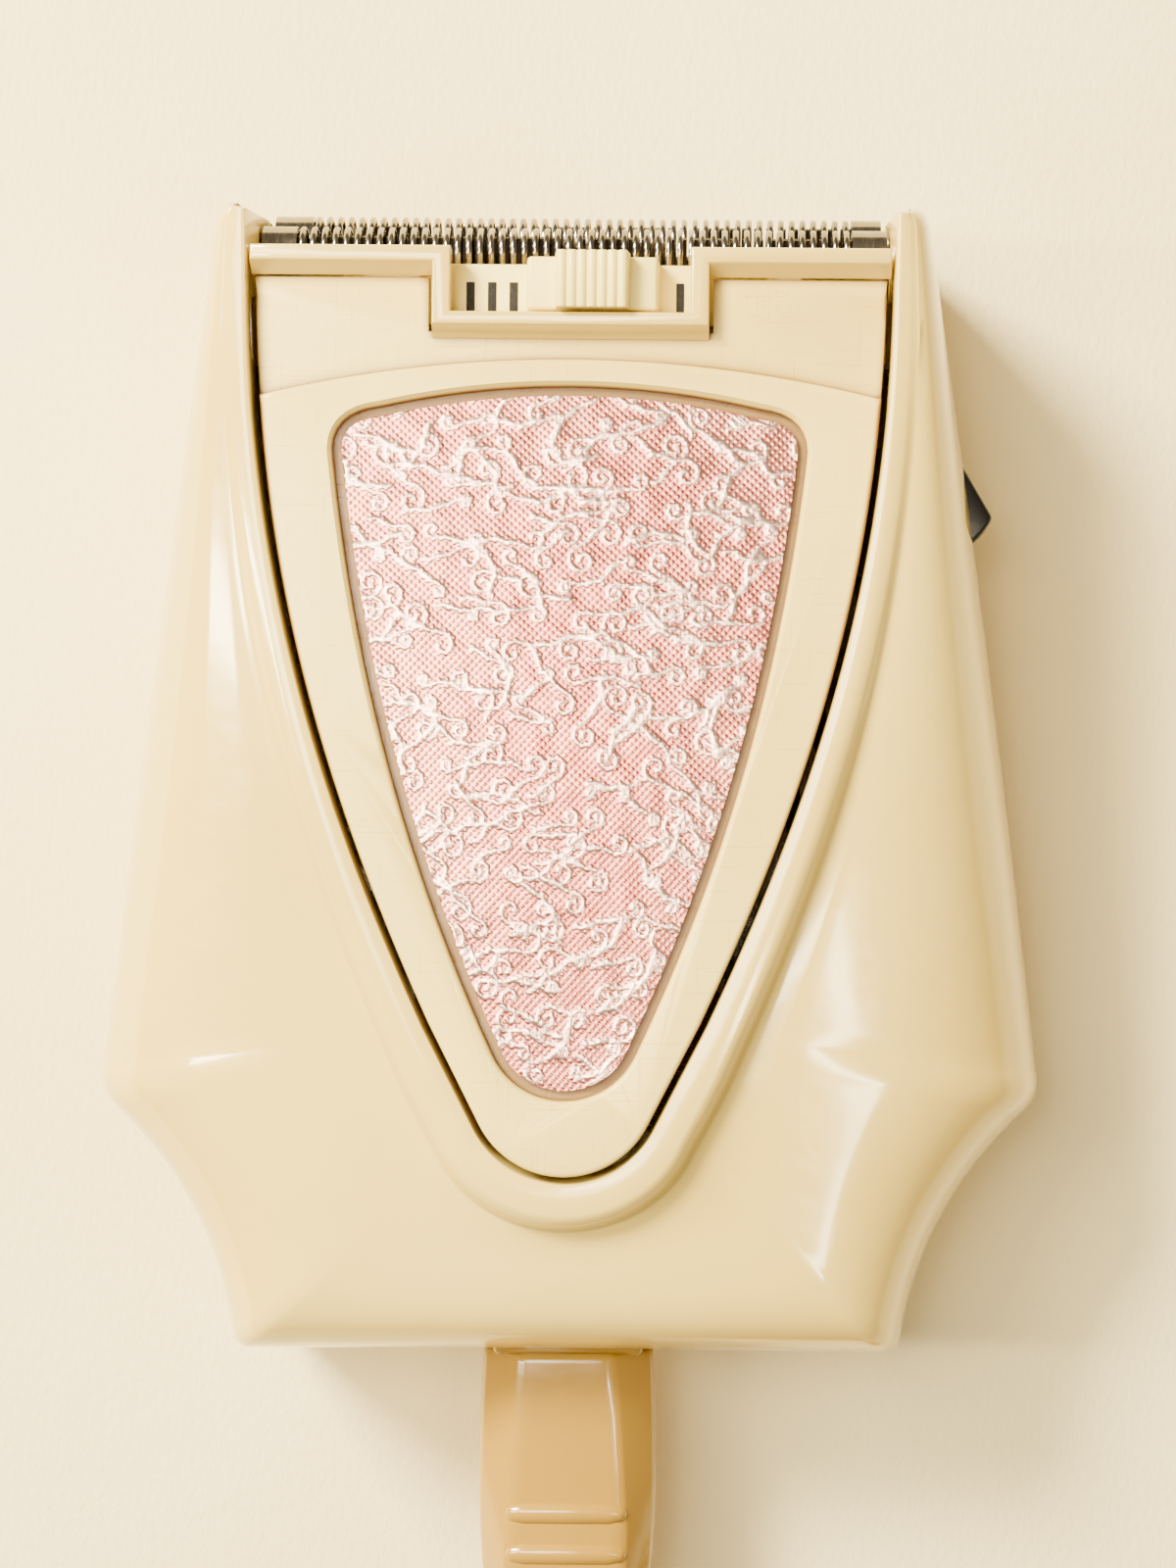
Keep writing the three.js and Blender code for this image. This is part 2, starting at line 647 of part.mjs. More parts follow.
function cutter(centre) {
  const radius = COMB_RADIUS - COMB_SHEET - 0.35;
  const springLine = COMB_TOP - COMB_RADIUS;
  const arc = ARCH_ANGLES.map((a) =>
    v2(springLine + radius * Math.sin(a), centre + radius * Math.cos(a)));
  const outline = [v2(1, centre - radius), ...arc, v2(1, centre + radius)];
  return headPrism(outline, [-26, 26])
    .subtract(slotRow(CUTTER_SLOTS, CUTTER_PITCH, 0.5, 2.6, centre))
    .subtract(headBlock([-2.9, 2.9], [0, 2], [centre - 3, centre + 3]));
}

function combTray() {
  return headBlock([-26, 26], [-2.6, -1], [-7.2, 7.2])
    .subtract(headBlock([-5.4, 5.4], [-4, 0], [-6.4, 6.4]));
}

function cutterCarrier() {
  const bar = headBlock([-3.2, 3.2], [-2.4, -1.1], [-5.6, 5.6]);
  const prongs = [-COMB_OFFSET, COMB_OFFSET].map((z) =>
    headBlock([-2.5, 2.5], [-1.2, 1.7], [z - 0.9, z + 0.9]));
  const fork = [[-3.2, -1.75], [1.75, 3.2]].map((x) => headBlock(x, [-6, -2.3], [-2.5, 2.5]));
  return [...prongs, ...fork].reduce((made, part) => made.add(part), bar);
}

/** A thin bowed strip under one half of a cutter. */
function cutterLeaf(centre, side) {
  const strip = [];
  for (let i = 0; i <= 6; i += 1) {
    const x = lerp(7, 24, i / 6) * side;
    strip.push(v2(x, -0.6 + 1.1 * Math.sin((Math.PI * i) / 6)));
  }
  const outline = [...strip, ...strip.map(({ x, y }) => v2(x, y + 0.25)).reverse()];
  const settings = { depth: 1.6, bevelEnabled: false };
  const geometry = new THREE.ExtrudeGeometry(new THREE.Shape(outline), settings);
  return solid(geometry.translate(0, 0, centre - 0.8).applyMatrix4(headMatrix));
}

function selectorSlide() {
  const x = SLIDE_CENTRE_X;
  const plate = block([-13.5, 17.3], [91.9, 97.3], [25.7, 26.7]);
  const base = block([x - 5.9, x + 5.9], [92.95, 97.6], [26.5, 29.3]);
  let slide = plate.add(base).add(block([x - 3.2, x + 3.2], [92.95, 97.9], [29, 31.2]));
  for (let i = -2.5; i <= 2.5; i += 1) {
    slide = slide.subtract(block([x + i - 0.2, x + i + 0.2], [90, 100], [30.8, 32]));
  }
  return slide;
}

const detentSpring = () => block([11, 19.5], [93, 96], [25.15, 25.45]);

// ---------------------------------------------------------------- motor and lever

const CORE_Z = [8, 18];
const LEG_X = [9, 15];

function motorCore() {
  const [inside, outside] = LEG_X;
  return prism(
    [
      v2(-outside, 13), v2(outside, 13), v2(outside, 35), v2(inside, 35),
      v2(inside, 19), v2(-inside, 19), v2(-inside, 35), v2(-outside, 35),
    ],
    CORE_Z,
  );
}

/** Rectangular tube round a leg of the core: out is how far its walls stand off the leg. */
function legSleeve(side, from, to, y) {
  const x = ([a, b], grow) =>
    [a - grow, b + grow].map((value) => value * side).sort((p, q) => p - q);
  const z = (grow) => [CORE_Z[0] - grow, CORE_Z[1] + grow];
  const bore = block(x(LEG_X, from), [y[0] - 1, y[1] + 1], z(from));
  return block(x(LEG_X, to), y, z(to)).subtract(bore);
}

const bobbin = (side) =>
  legSleeve(side, GAP, 1.1, [19.6, 34])
    .add(legSleeve(side, GAP, 4, [19.6, 20.6]))
    .add(legSleeve(side, GAP, 4, [33, 34]));

const coilWinding = (side) => legSleeve(side, 1.1 + GAP, 3.7, [20.9, 32.7]);

function motorBracket() {
  const plate = block([-17, 17], [11, 58], [2.6, 3.6]);
  const added = [
    block([-15, 15], [13, 18.5], [3.5, CORE_Z[0] - GAP]),
    block([-5, 5], [47, 57], [3.5, LEVER_Z[0] - 0.6]),
    block([13, 15], [42.4, 45.6], [3.5, 16]),
    block([-15, -13], [42.4, 45.6], [3.5, 16]),
  ];
  const holes = [-BRACKET_SCREW_X, BRACKET_SCREW_X].map((x) =>
    rod(1.5, v3(x, BRACKET_SCREW_Y, 0), v3(x, BRACKET_SCREW_Y, 5), 12));
  const pinHole = rod(1.8, v3(0, LEVER_PIVOT_Y, 3.9), v3(0, LEVER_PIVOT_Y, 14));
  const whole = added.reduce((made, part) => made.add(part), plate);
  return [...holes, pinHole].reduce((made, hole) => made.subtract(hole), whole);
}

function bracketScrew(x) {
  const profile = [[0, 0.8], [1, 0.8], [1, 3.9], [2.4, 3.9], [2.4, 5], [1.6, 5.7], [0, 5.7]];
  const slot = block([x - 3, x + 3], [BRACKET_SCREW_Y - 0.35, BRACKET_SCREW_Y + 0.35], [5.1, 7]);
  return turned(profile, x, BRACKET_SCREW_Y, 12).subtract(slot);
}

const pivotPin = () => rod(1.5, v3(0, LEVER_PIVOT_Y, 4.2), v3(0, LEVER_PIVOT_Y, 19.5));

function leverBushing() {
  const [low, high] = LEVER_Z;
  return rod(2.6, v3(0, LEVER_PIVOT_Y, low), v3(0, LEVER_PIVOT_Y, high + 0.8))
    .subtract(rod(1.8, v3(0, LEVER_PIVOT_Y, 0), v3(0, LEVER_PIVOT_Y, 30)));
}

function driveLever() {
  const half = [
    v2(3.8, 41), v2(3.8, 46), v2(5.4, 50), v2(5.4, 54),
    v2(2.6, 62), v2(1.9, 88), v2(1.4, 90), v2(1.4, 93.4),
  ];
  const left = half.map(({ x, y }) => v2(-x, y)).reverse();
  return prism([...half, ...left], LEVER_Z)
    .subtract(rod(2.9, v3(0, LEVER_PIVOT_Y, 0), v3(0, LEVER_PIVOT_Y, 30)));
}

const armature = () => block([-14, 14], [36.2, 40.7], [8.5, 18.5]);

/** A closed tube of round section through points. */
function tube(points, radius, steps, sides) {
  const path = new THREE.CatmullRomCurve3(points);
  const ring = [];
  for (let i = 0; i < sides; i += 1) {
    const angle = (2 * Math.PI * i) / sides;
    ring.push(v2(radius * Math.cos(angle), radius * Math.sin(angle)));
  }
  const settings = { steps, extrudePath: path, bevelEnabled: false };
  return solid(new THREE.ExtrudeGeometry(new THREE.Shape(ring), settings));
}

/** A helical spring along X beside the lever. */
function returnSpring(side) {
  const turns = 4;
  const stepsPerTurn = 6;
  const points = [];
  for (let i = 0; i <= turns * stepsPerTurn; i += 1) {
    const angle = (2 * Math.PI * i) / stepsPerTurn;
    const x = side * lerp(5, 12.2, i / (turns * stepsPerTurn));
    points.push(v3(x, 44 + 1.5 * Math.cos(angle), 13.75 + 1.5 * Math.sin(angle)));
  }
  return tube(points, 0.3, turns * stepsPerTurn, 4);
}

// ---------------------------------------------------------------- switch, inlet and wires

/** Half outline of the rocker in its middle position, from the shallow V of its face downwards. */
function rockerOutline() {
  const end = [-45.3, -54, -62, -70].map(degToRad)
    .map((a) => v2(ROCKER_RADIUS * Math.cos(a) - ROCKER_DEPTH, ROCKER_RADIUS * Math.sin(a)));
  const low = [...end, v2(-4.5, -5.2), v2(-6.3, -2)];
  const high = low.map(({ x, y }) => v2(x, -y)).reverse();
  return [v2(0, 0), ...low, ...high];
}

function rocker() {
  const body = geometryOf(prism(rockerOutline(), [9.8, 18.2]));
  body.translate(ROCKER_DEPTH, 0, 0).rotateZ(ROCKER_TILT).translate(-ROCKER_DEPTH, 0, 0);
  return solid(body.applyMatrix4(switchMatrix))
    .subtract(rod(1.2, onSwitch(-ROCKER_DEPTH, 0, 0), onSwitch(-ROCKER_DEPTH, 0, 30), 12));
}

const rockerPin = () =>
  rod(0.9, onSwitch(-ROCKER_DEPTH, 0, 7.8), onSwitch(-ROCKER_DEPTH, 0, 20.2), 12);

function switchFrame() {
  return switchBlock([-13, -8.8], [-8.2, 8.2], [8, 20])
    .add(switchBlock([-9, -2.9], [-3, 3], [8, 9.4]))
    .add(switchBlock([-9, -2.9], [-3, 3], [18.6, 20]))
    .subtract(rod(1.2, onSwitch(-ROCKER_DEPTH, 0, 0), onSwitch(-ROCKER_DEPTH, 0, 30), 12));
}

const fixedContact = () => switchBlock([-8.5, -8], [-6.8, -1], [12, 16]);

function springContact() {
  const bowed = [
    v2(-8.5, 1), v2(-8.2, 1), v2(-7.4, 4.2), v2(-8.2, 7), v2(-8.5, 7), v2(-7.7, 4.2),
  ];
  return switchPrism(bowed, [12, 16]);
}

function inletBlock() {
  const cup = block([-8.8, 8.8], [3.2, 9.8], [7.3, 18.7])
    .subtract(block([-7.4, 7.4], [0, 6.6], [8.7, 17.3]));
  const pinHole = (side) => {
    const x = (side * PIN_SPACING) / 2;
    return rod(1.5, v3(x, 0, CONNECTOR_Z), v3(x, 20, CONNECTOR_Z), 12);
  };
  return cup.subtract(pinHole(-1)).subtract(pinHole(1));
}

function inletPin(side) {
  const x = (side * PIN_SPACING) / 2;
  return rod(1.2, v3(x, 1.6, CONNECTOR_Z), v3(x, 10.6, CONNECTOR_Z), 12);
}

const WIRE_RADIUS = 0.7;

function wireInletToSwitch() {
  const route = [
    v3(3.7, 11.7, 13), v3(9, 11.6, 12), v3(20, 13, 9), v3(23.5, 26, 7),
    v3(23.5, 50, 7), v3(21.8, 68, 11), v3(21.2, 77, 14),
  ];
  return tube(route, WIRE_RADIUS, 22, 6);
}

function wireSwitchToCoil() {
  const route = [
    v3(20.6, 84, 12), v3(18.6, 74, 8), v3(20.4, 52, 6), v3(20.8, 42, 7), v3(20.3, 35, 9),
  ];
  return tube(route, WIRE_RADIUS, 16, 6);
}

function wireInletToCoil() {
  const route = [
    v3(-3.7, 11.7, 13), v3(-9, 11.6, 12), v3(-19, 13, 9),
    v3(-22, 22, 7), v3(-21.6, 30, 8), v3(-20.3, 35, 9),
  ];
  return tube(route, WIRE_RADIUS, 16, 6);
}

// ---------------------------------------------------------------- cord set

/** Eight-sided section of the connector across Y: half width, flat's half width, half thickness. */
function connectorRing(y, halfWidth, flatHalf, halfThick) {
  const side = halfThick * 0.45;
  return [
    [halfWidth, -side], [halfWidth, side], [flatHalf, halfThick], [-flatHalf, halfThick],
    [-halfWidth, side], [-halfWidth, -side], [-flatHalf, -halfThick], [flatHalf, -halfThick],
  ].map(([x, z]) => v3(x, y, CONNECTOR_Z + z));
}

const CONNECTOR_SECTIONS = [
  [-28.5, 3.9, 2.2, 3.9],
  [-26, 6.2, 4.4, 5],
  [-20, 7.8, 5.4, 5.3],
  [-12, 8.15, 5, 5.3],
  [-0.4, 7.85, 4.2, 5],
];
const GRIP_RIB_Y = [-14.8, -18.5, -22.2];

function connectorBody() {
  const flatten = (point) => v2(point.x, point.z);
  let body = loft(CONNECTOR_SECTIONS.map((section) => connectorRing(...section)), flatten);
  body = body.add(block([-6.9, 6.9], [-1, 6.2], [CONNECTOR_Z - 3.8, CONNECTOR_Z + 3.8]));
  for (const y of GRIP_RIB_Y) {
    for (const z of [CONNECTOR_Z + 5, CONNECTOR_Z - 5]) {
      body = body.add(rod(0.9, v3(-5.4, y, z), v3(5.4, y, z), 8));
    }
  }
  for (const side of [-1, 1]) {
    const x = (side * PIN_SPACING) / 2;
    body = body.subtract(rod(2.2, v3(x, -8, CONNECTOR_Z), v3(x, 10, CONNECTOR_Z)));
  }
  return body;
}

function connectorSleeve(side) {
  const x = (side * PIN_SPACING) / 2;
  return rod(1.9, v3(x, -7.6, CONNECTOR_Z), v3(x, 5.8, CONNECTOR_Z))
    .subtract(rod(1.5, v3(x, -6.6, CONNECTOR_Z), v3(x, 10, CONNECTOR_Z), 12));
}

/** A tapered round sleeve between two heights along Y. */
function taper(centreX, centreZ, sections, sides = 14) {
  const rings = sections.map(([y, radius]) => {
    const ring = [];
    for (let i = 0; i < sides; i += 1) {
      const angle = (2 * Math.PI * i) / sides;
      ring.push(v3(centreX + radius * Math.cos(angle), y, centreZ + radius * Math.sin(angle)));
    }
    return ring;
  });
  return loft(rings, (point) => v2(point.x, point.z));
}

const connectorRelief = () => taper(0, CONNECTOR_Z, [[CORD_EXIT_Y, 2.7], [-34, 3.2], [-28.8, 3.6]]);

// The free cord's centreline from the connector into the coil's lowest turn, and from its
// highest turn to the plug.
const leadRoute = new THREE.CubicBezierCurve3(
  v3(0, CORD_EXIT_Y - GAP, 13), v3(0, -60, 13), v3(-1.85, -72.9, 3), v3(-8.85, -85, 3),
);
const tailRoute = new THREE.CubicBezierCurve3(
  v3(43.4, -99, 15.15), v3(43.4, -91, 15.15), v3(PLUG_X, -82, PLUG_Z), v3(PLUG_X, -74, PLUG_Z),
);
const LEAD_SHARE = 0.64; // of the lead's route that lies clear of the coil
const TAIL_START = 0.55; // where the tail's route leaves the coil

/** Points along a stretch of a curve. */
function stretch(curve, from, to, steps) {
  return Array.from({ length: steps + 1 }, (_, i) => curve.getPoint(lerp(from, to, i / steps)));
}

const cordLead = () => tube(stretch(leadRoute, 0, LEAD_SHARE, 6), CORD_RADIUS, 6, 8);
const cordTail = () => tube(stretch(tailRoute, TAIL_START, 1, 4), CORD_RADIUS, 4, 8);

const coilInside = COIL_OUTER_TURN - (COIL_COLUMNS - 1) * COIL_TURN_PITCH - CORD_RADIUS - 0.1;
const coilOutside = COIL_OUTER_TURN + CORD_RADIUS + 0.1;
const coilTop = COIL_FLOOR_Z + 2 * CORD_RADIUS + (COIL_LAYERS - 1) * COIL_LAYER_PITCH + 0.1;

function cordCoil() {
  const profile = [
    [coilInside, COIL_FLOOR_Z], [coilOutside, COIL_FLOOR_Z], [coilOutside, coilTop],
    [coilInside, coilTop], [coilInside, COIL_FLOOR_Z],
  ];
  return turned(profile, COIL_CENTRE.x, COIL_CENTRE.y, 36);
}

function cordTie() {
  const [x, y] = [COIL_CENTRE.x, COIL_CENTRE.y];
  const halfWidth = [x - 4, x + 4];
  const heights = [COIL_FLOOR_Z - 1, coilTop + 1];
  const band = block(halfWidth, [y - coilOutside - 1, y - coilInside + 1], heights);
  const clasp = block(halfWidth, [y - coilInside, y - coilInside + 1.6], heights);
  const bore = block(
    [x - 6, x + 6],
    [y - coilOutside - GAP, y - coilInside + 0.8],
    [COIL_FLOOR_Z - GAP, coilTop + GAP],
  );
  return band.add(clasp).subtract(bore);
}

function plugBody() {
  const ring = (y, halfWidth, halfThick) => {
    const cut = 0.4 * halfThick;
    const [x, z] = [halfWidth - cut, halfThick - cut];
    return [
      [halfWidth, -z], [halfWidth, z], [x, halfThick], [-x, halfThick],
      [-halfWidth, z], [-halfWidth, -z], [-x, -halfThick], [x, -halfThick],
    ].map((corner) => v3(PLUG_X + corner[0], y, PLUG_Z + corner[1]));
  };
  const sections = [[-66, 5, 4.6], [-62, 9.6, 6.6], [-48, 11, 7.5], [-46, 10.6, 7.1]];
  const flatten = (point) => v2(point.x, point.z);
  const body = loft(sections.map((section) => ring(...section)), flatten);
  return [-1, 1].reduce((made, side) => {
    const x = PLUG_X + side * BLADE_X;
    return made.subtract(block([x - 1.1, x + 1.1], [-51, -40], [PLUG_Z - 3.5, PLUG_Z + 3.5]));
  }, body);
}

const plugRelief = () => taper(PLUG_X, PLUG_Z, [[-73.7, 2.7], [-70, 3.4], [-66.3, 4.2]]);

function plugBlade(side) {
  const x = PLUG_X + side * BLADE_X;
  const outline = [
    v2(x - 0.75, -50.7), v2(x + 0.75, -50.7), v2(x + 0.75, -31),
    v2(x + 0.3, -30), v2(x - 0.3, -30), v2(x - 0.75, -31),
  ];
  return prism(outline, [PLUG_Z - 3.15, PLUG_Z + 3.15])
    .subtract(rod(1.5, v3(x - 3, -34, PLUG_Z), v3(x + 3, -34, PLUG_Z), 12));
}

// ---------------------------------------------------------------- assembly

function housingPieces() {
  return [
    piece("front_shell", frontShell(), IVORY),
    piece("back_shell", backShell(), IVORY),
    piece("shield_panel", shieldPanel(), SHIELD_IVORY),
    piece("foil_inlay", foilInlay(), FOIL),
    ...SCREW_PLACES.map((place, i) => piece(`housing_screw_${i + 1}`, housingScrew(place), STEEL)),
  ];
}

function headPieces() {
  const rows = { front: COMB_OFFSET, rear: -COMB_OFFSET };
  const leaves = Object.entries(rows).flatMap(([row, centre]) => [
    piece(`${row}_left_leaf_spring`, cutterLeaf(centre, -1), STEEL),
    piece(`${row}_right_leaf_spring`, cutterLeaf(centre, 1), STEEL),
  ]);
  return [
    piece("head_frame", headFrame(), IVORY),
    piece("comb_tray", combTray(), STEEL),
    piece("front_comb", comb(COMB_OFFSET), STEEL),
    piece("rear_comb", comb(-COMB_OFFSET), STEEL),
    piece("front_cutter", cutter(COMB_OFFSET), STEEL),
    piece("rear_cutter", cutter(-COMB_OFFSET), STEEL),
    piece("cutter_carrier", cutterCarrier(), CREAM_CORE),
    ...leaves,
    piece("selector_slide", selectorSlide(), SHIELD_IVORY),
    piece("detent_spring", detentSpring(), STEEL),
  ];
}

function motorPieces() {
  return [
    piece("motor_core", motorCore(), IRON),
    piece("left_bobbin", bobbin(-1), CREAM_CORE),
    piece("right_bobbin", bobbin(1), CREAM_CORE),
    piece("left_coil", coilWinding(-1), COPPER),
    piece("right_coil", coilWinding(1), COPPER),
    piece("motor_bracket", motorBracket(), STEEL),
    piece("bracket_screw_left", bracketScrew(-BRACKET_SCREW_X), STEEL),
    piece("bracket_screw_right", bracketScrew(BRACKET_SCREW_X), STEEL),
    piece("pivot_pin", pivotPin(), STEEL),
    piece("lever_bushing", leverBushing(), BRASS),
    piece("drive_lever", driveLever(), PHENOLIC),
    piece("armature", armature(), IRON),
    piece("left_return_spring", returnSpring(-1), STEEL),
    piece("right_return_spring", returnSpring(1), STEEL),
  ];
}

function electricalPieces() {
  return [
    piece("rocker", rocker(), BLACK),
    piece("rocker_pin", rockerPin(), STEEL),
    piece("switch_frame", switchFrame(), PHENOLIC),
    piece("fixed_contact", fixedContact(), BRASS),
    piece("spring_contact", springContact(), BRASS),
    piece("inlet_block", inletBlock(), PHENOLIC),
    piece("inlet_pin_left", inletPin(-1), BRASS),
    piece("inlet_pin_right", inletPin(1), BRASS),
    piece("wire_inlet_to_switch", wireInletToSwitch(), BLACK),
    piece("wire_switch_to_coil", wireSwitchToCoil(), BLACK),
    piece("wire_inlet_to_coil", wireInletToCoil(), BLACK),
  ];
}

function cordPieces() {
  return [
    piece("connector_body", connectorBody(), TAN),
    piece("connector_sleeve_left", connectorSleeve(-1), BRASS),
    piece("connector_sleeve_right", connectorSleeve(1), BRASS),
    piece("connector_relief", connectorRelief(), TAN),
    piece("cord_lead", cordLead(), TAN),
    piece("cord_coil", cordCoil(), TAN),
    piece("cord_tail", cordTail(), TAN),
    piece("cord_tie", cordTie(), BLACK),
    piece("plug_body", plugBody(), TAN),
    piece("plug_relief", plugRelief(), TAN),
    piece("plug_blade_left", plugBlade(-1), BRASS),
    piece("plug_blade_right", plugBlade(1), BRASS),
  ];
}

const shaver = new THREE.Group();
shaver.add(...housingPieces(), ...headPieces(), ...motorPieces(), ...electricalPieces(), ...cordPieces());
shaver.position.y = -BODY_LENGTH / 2;

export default shaver;
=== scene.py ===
"""A ladies' mains shaver on its back with its cord set: the pieces seen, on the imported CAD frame."""

import math
import random

import bmesh
import bpy
from mathutils import Matrix, Vector, kdtree, noise


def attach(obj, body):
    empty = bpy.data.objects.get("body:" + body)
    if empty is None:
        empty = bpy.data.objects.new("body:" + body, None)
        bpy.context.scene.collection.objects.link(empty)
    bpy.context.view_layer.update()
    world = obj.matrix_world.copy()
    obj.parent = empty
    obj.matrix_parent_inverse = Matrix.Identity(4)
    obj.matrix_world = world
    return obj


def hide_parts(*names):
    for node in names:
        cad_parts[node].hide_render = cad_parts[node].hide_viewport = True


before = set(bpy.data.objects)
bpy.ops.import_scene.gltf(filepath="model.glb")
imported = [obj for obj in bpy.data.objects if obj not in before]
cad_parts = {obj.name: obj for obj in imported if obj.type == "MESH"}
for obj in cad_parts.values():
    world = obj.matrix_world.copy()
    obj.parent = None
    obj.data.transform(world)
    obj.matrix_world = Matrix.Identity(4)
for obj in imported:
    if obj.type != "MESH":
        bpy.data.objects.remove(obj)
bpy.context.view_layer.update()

# ---------------------------------------------------------------- dimensions, in millimetres
# Y = 0 is the base end of the body, as in the part's source; place() moves it to the row frame.

MM = 0.001
MIDDLE_Y = 52.2
PARTING_Z = 14
HALF_WIDTH = 42.8
GAP = 0.3

TIP_Y = 16.9
TIP_RADIUS = 8.8
FLANK_ANGLE = math.radians(26.6)
EAR_INSIDE_X = 28.4
EAR_TOP_Y = 103.2
RIM_TIP_Z = 31.6
RIM_HEAD_Z = 30
SHELL_WALL = 2
LIP_DEPTH = 4

SHIELD_GAP = 0.6
SHIELD_TOP_Y = 95.9
PLATE_Z = 28.2
PAD_HEAD_Z = 28.9
PAD_TIP_Z = 32.4
PAD_STEP_Y = 85.4
PAD_STEP_APEX_Y = 88.7
SHIELD_THICKNESS = 2.2
RECESS_DEPTH = 1.1
INLAY_DEPTH = 0.55
INLAY_THICKNESS = 0.4
INLAY_TOP_Y = 83.6
INLAY_TOP_HALF_WIDTH = 16.6
INLAY_APEX_Y = 85.5
FOIL_SEED = 7
FOIL_ROWS = 340
FOIL_COLUMNS = 210
RIDGE_HEIGHT = 0.08
RIDGE_WIDTH = 0.16

BAR_TOP_Y = 98.4
BAR_FRONT_Z = 30
WINDOW_HALF_WIDTH = 10.5
SLIDE_CENTRE_X = 1.9

HEAD_TILT = math.radians(16)
HEAD_ORIGIN = (97, 13.75)
COMB_OFFSET = 4.6
COMB_HALF_LENGTH = 28.1
COMB_RADIUS = 2.3
COMB_TOP = 6.35
COMB_SHEET = 0.45
COMB_TEETH = 50

SWITCH_FOOT = (35.45, 80.1)
SWITCH_TURN = math.radians(8.1)
ROCKER_DEPTH = 4.4
ROCKER_TILT = math.radians(11.3)
ROCKER_RADIUS = 7.85

CONNECTOR_Z = 13
PIN_OFFSET = 3.3
GRIP_RIB_Y = (-14.8, -18.5, -22.2)

CORD_RADIUS = 2
CORD_EXIT = (0, -46.3, 13)
COIL_CENTRE = (15.4, -99)
COIL_COLUMNS = (28, 23.9, 19.8)
COIL_LAYERS = (3, 7.05, 11.1, 15.15)
COIL_TURNS = 10
PLUG_X = 45
PLUG_Z = 7.5
BLADE_OFFSET = 6.35

# ---------------------------------------------------------------- small helpers


def place(x, y, z):
    """A point of the drawing, in millimetres, in the row frame."""
    return Vector((x * MM, (y - MIDDLE_Y) * MM, z * MM))


def lerp(a, b, t):
    return a + (b - a) * t


def smooth(t):
    """Eases 0 to 1 with level ends."""
    t = min(max(t, 0), 1)
    return t * t * (3 - 2 * t)


def ramp(y, *knots):
    """Value at y on a broken line through (y, value) knots."""
    if y <= knots[0][0]:
        return knots[0][1]
    for (y0, a), (y1, b) in zip(knots, knots[1:]):
        if y <= y1:
            return lerp(a, b, (y - y0) / (y1 - y0))
    return knots[-1][1]


def bezier(*controls):
    """A Bezier curve of any degree, as a function of t."""

    def at(t):
        points = [Vector(c) for c in controls]
        while len(points) > 1:
            points = [a.lerp(b, t) for a, b in zip(points, points[1:])]
        return points[0]

    return at


def arc(centre, radius, start, end):
    """A circular arc in the plane, as a function of t."""

    def at(t):
        angle = lerp(start, end, t)
        return Vector((centre[0] + radius * math.cos(angle), centre[1] + radius * math.sin(angle)))

    return at


def part_of(curve, start, end):
    return lambda t: curve(lerp(start, end, t))


def samples(curve, steps):
    return [curve(i / steps) for i in range(steps + 1)]


def grown(outline, distance):
    """A counter-clockwise outline moved outwards along its own normals."""
    moved = []
    for i, point in enumerate(outline):
        along = (outline[(i + 1) % len(outline)] - outline[i - 1]).normalized()
        moved.append(Vector((point.x + along.y * distance, point.y - along.x * distance)))
    return moved


def mirrored(half):
    """A closed counter-clockwise outline from its right half, which runs from bottom to top."""
    left = [Vector((-p.x, p.y)) for p in reversed(half) if p.x > 0.01]
    return list(half) + left


def turn_angles(count):
    """Equal angles once round."""
    return [2 * math.pi * i / count for i in range(count)]


# ---------------------------------------------------------------- mesh making


def make_object(name, points, faces, material, sharp=32):
    """A smooth-shaded object from points already in the row frame, its faces turned outwards."""
    mesh = bpy.data.meshes.new(name)
    mesh.from_pydata([tuple(p) for p in points], [], faces)
    bm = bmesh.new()
    bm.from_mesh(mesh)
    bmesh.ops.remove_doubles(bm, verts=bm.verts, dist=1e-7)
    bmesh.ops.recalc_face_normals(bm, faces=bm.faces)
    bm.to_mesh(mesh)
    bm.free()
    obj = bpy.data.objects.new(name, mesh)
    bpy.context.scene.collection.objects.link(obj)
    mesh.materials.append(material)
    shade(obj, sharp)
    return obj


def shade(obj, sharp=32):
    obj.data.shade_smooth()
    obj.data.set_sharp_from_angle(angle=math.radians(sharp))


def loft(name, rings, material, sharp=32):
    """A closed object through rings of equal length, in drawing millimetres."""
    count = len(rings[0])
    points = [place(*p) for ring in rings for p in ring]
    faces = []
    for ring in range(len(rings) - 1):
        for i in range(count):
            a, b = ring * count + i, ring * count + (i + 1) % count
            faces.append((a, b, b + count, a + count))
    faces.append(tuple(range(count)))
    faces.append(tuple(range((len(rings) - 1) * count, len(rings) * count)))
    return make_object(name, points, faces, material, sharp)


def prism(name, outline, low, high, material, axis="z"):
    """A straight prism of an outline, along the given axis of the drawing."""
    order = {
        "x": lambda p, h: (h, p[0], p[1]),
        "y": lambda p, h: (p[0], h, p[1]),
        "z": lambda p, h: (p[0], p[1], h),
    }[axis]
    rings = [[order(p, h) for p in outline] for h in (low, high)]
    return loft(name, rings, material)


def apply_modifiers(obj):
    """Bakes an object's modifiers into its mesh."""
    depsgraph = bpy.context.evaluated_depsgraph_get()
    mesh = bpy.data.meshes.new_from_object(obj.evaluated_get(depsgraph))
    obj.modifiers.clear()
    obj.data = mesh


def bevelled(obj, width, segments=2, angle=35):
    """Rounds the edges that are sharper than an angle."""
    modifier = obj.modifiers.new("round", "BEVEL")
    modifier.width = width * MM
    modifier.segments = segments
    modifier.limit_method = "ANGLE"
    modifier.angle_limit = math.radians(angle)
    apply_modifiers(obj)
    shade(obj)
    return obj


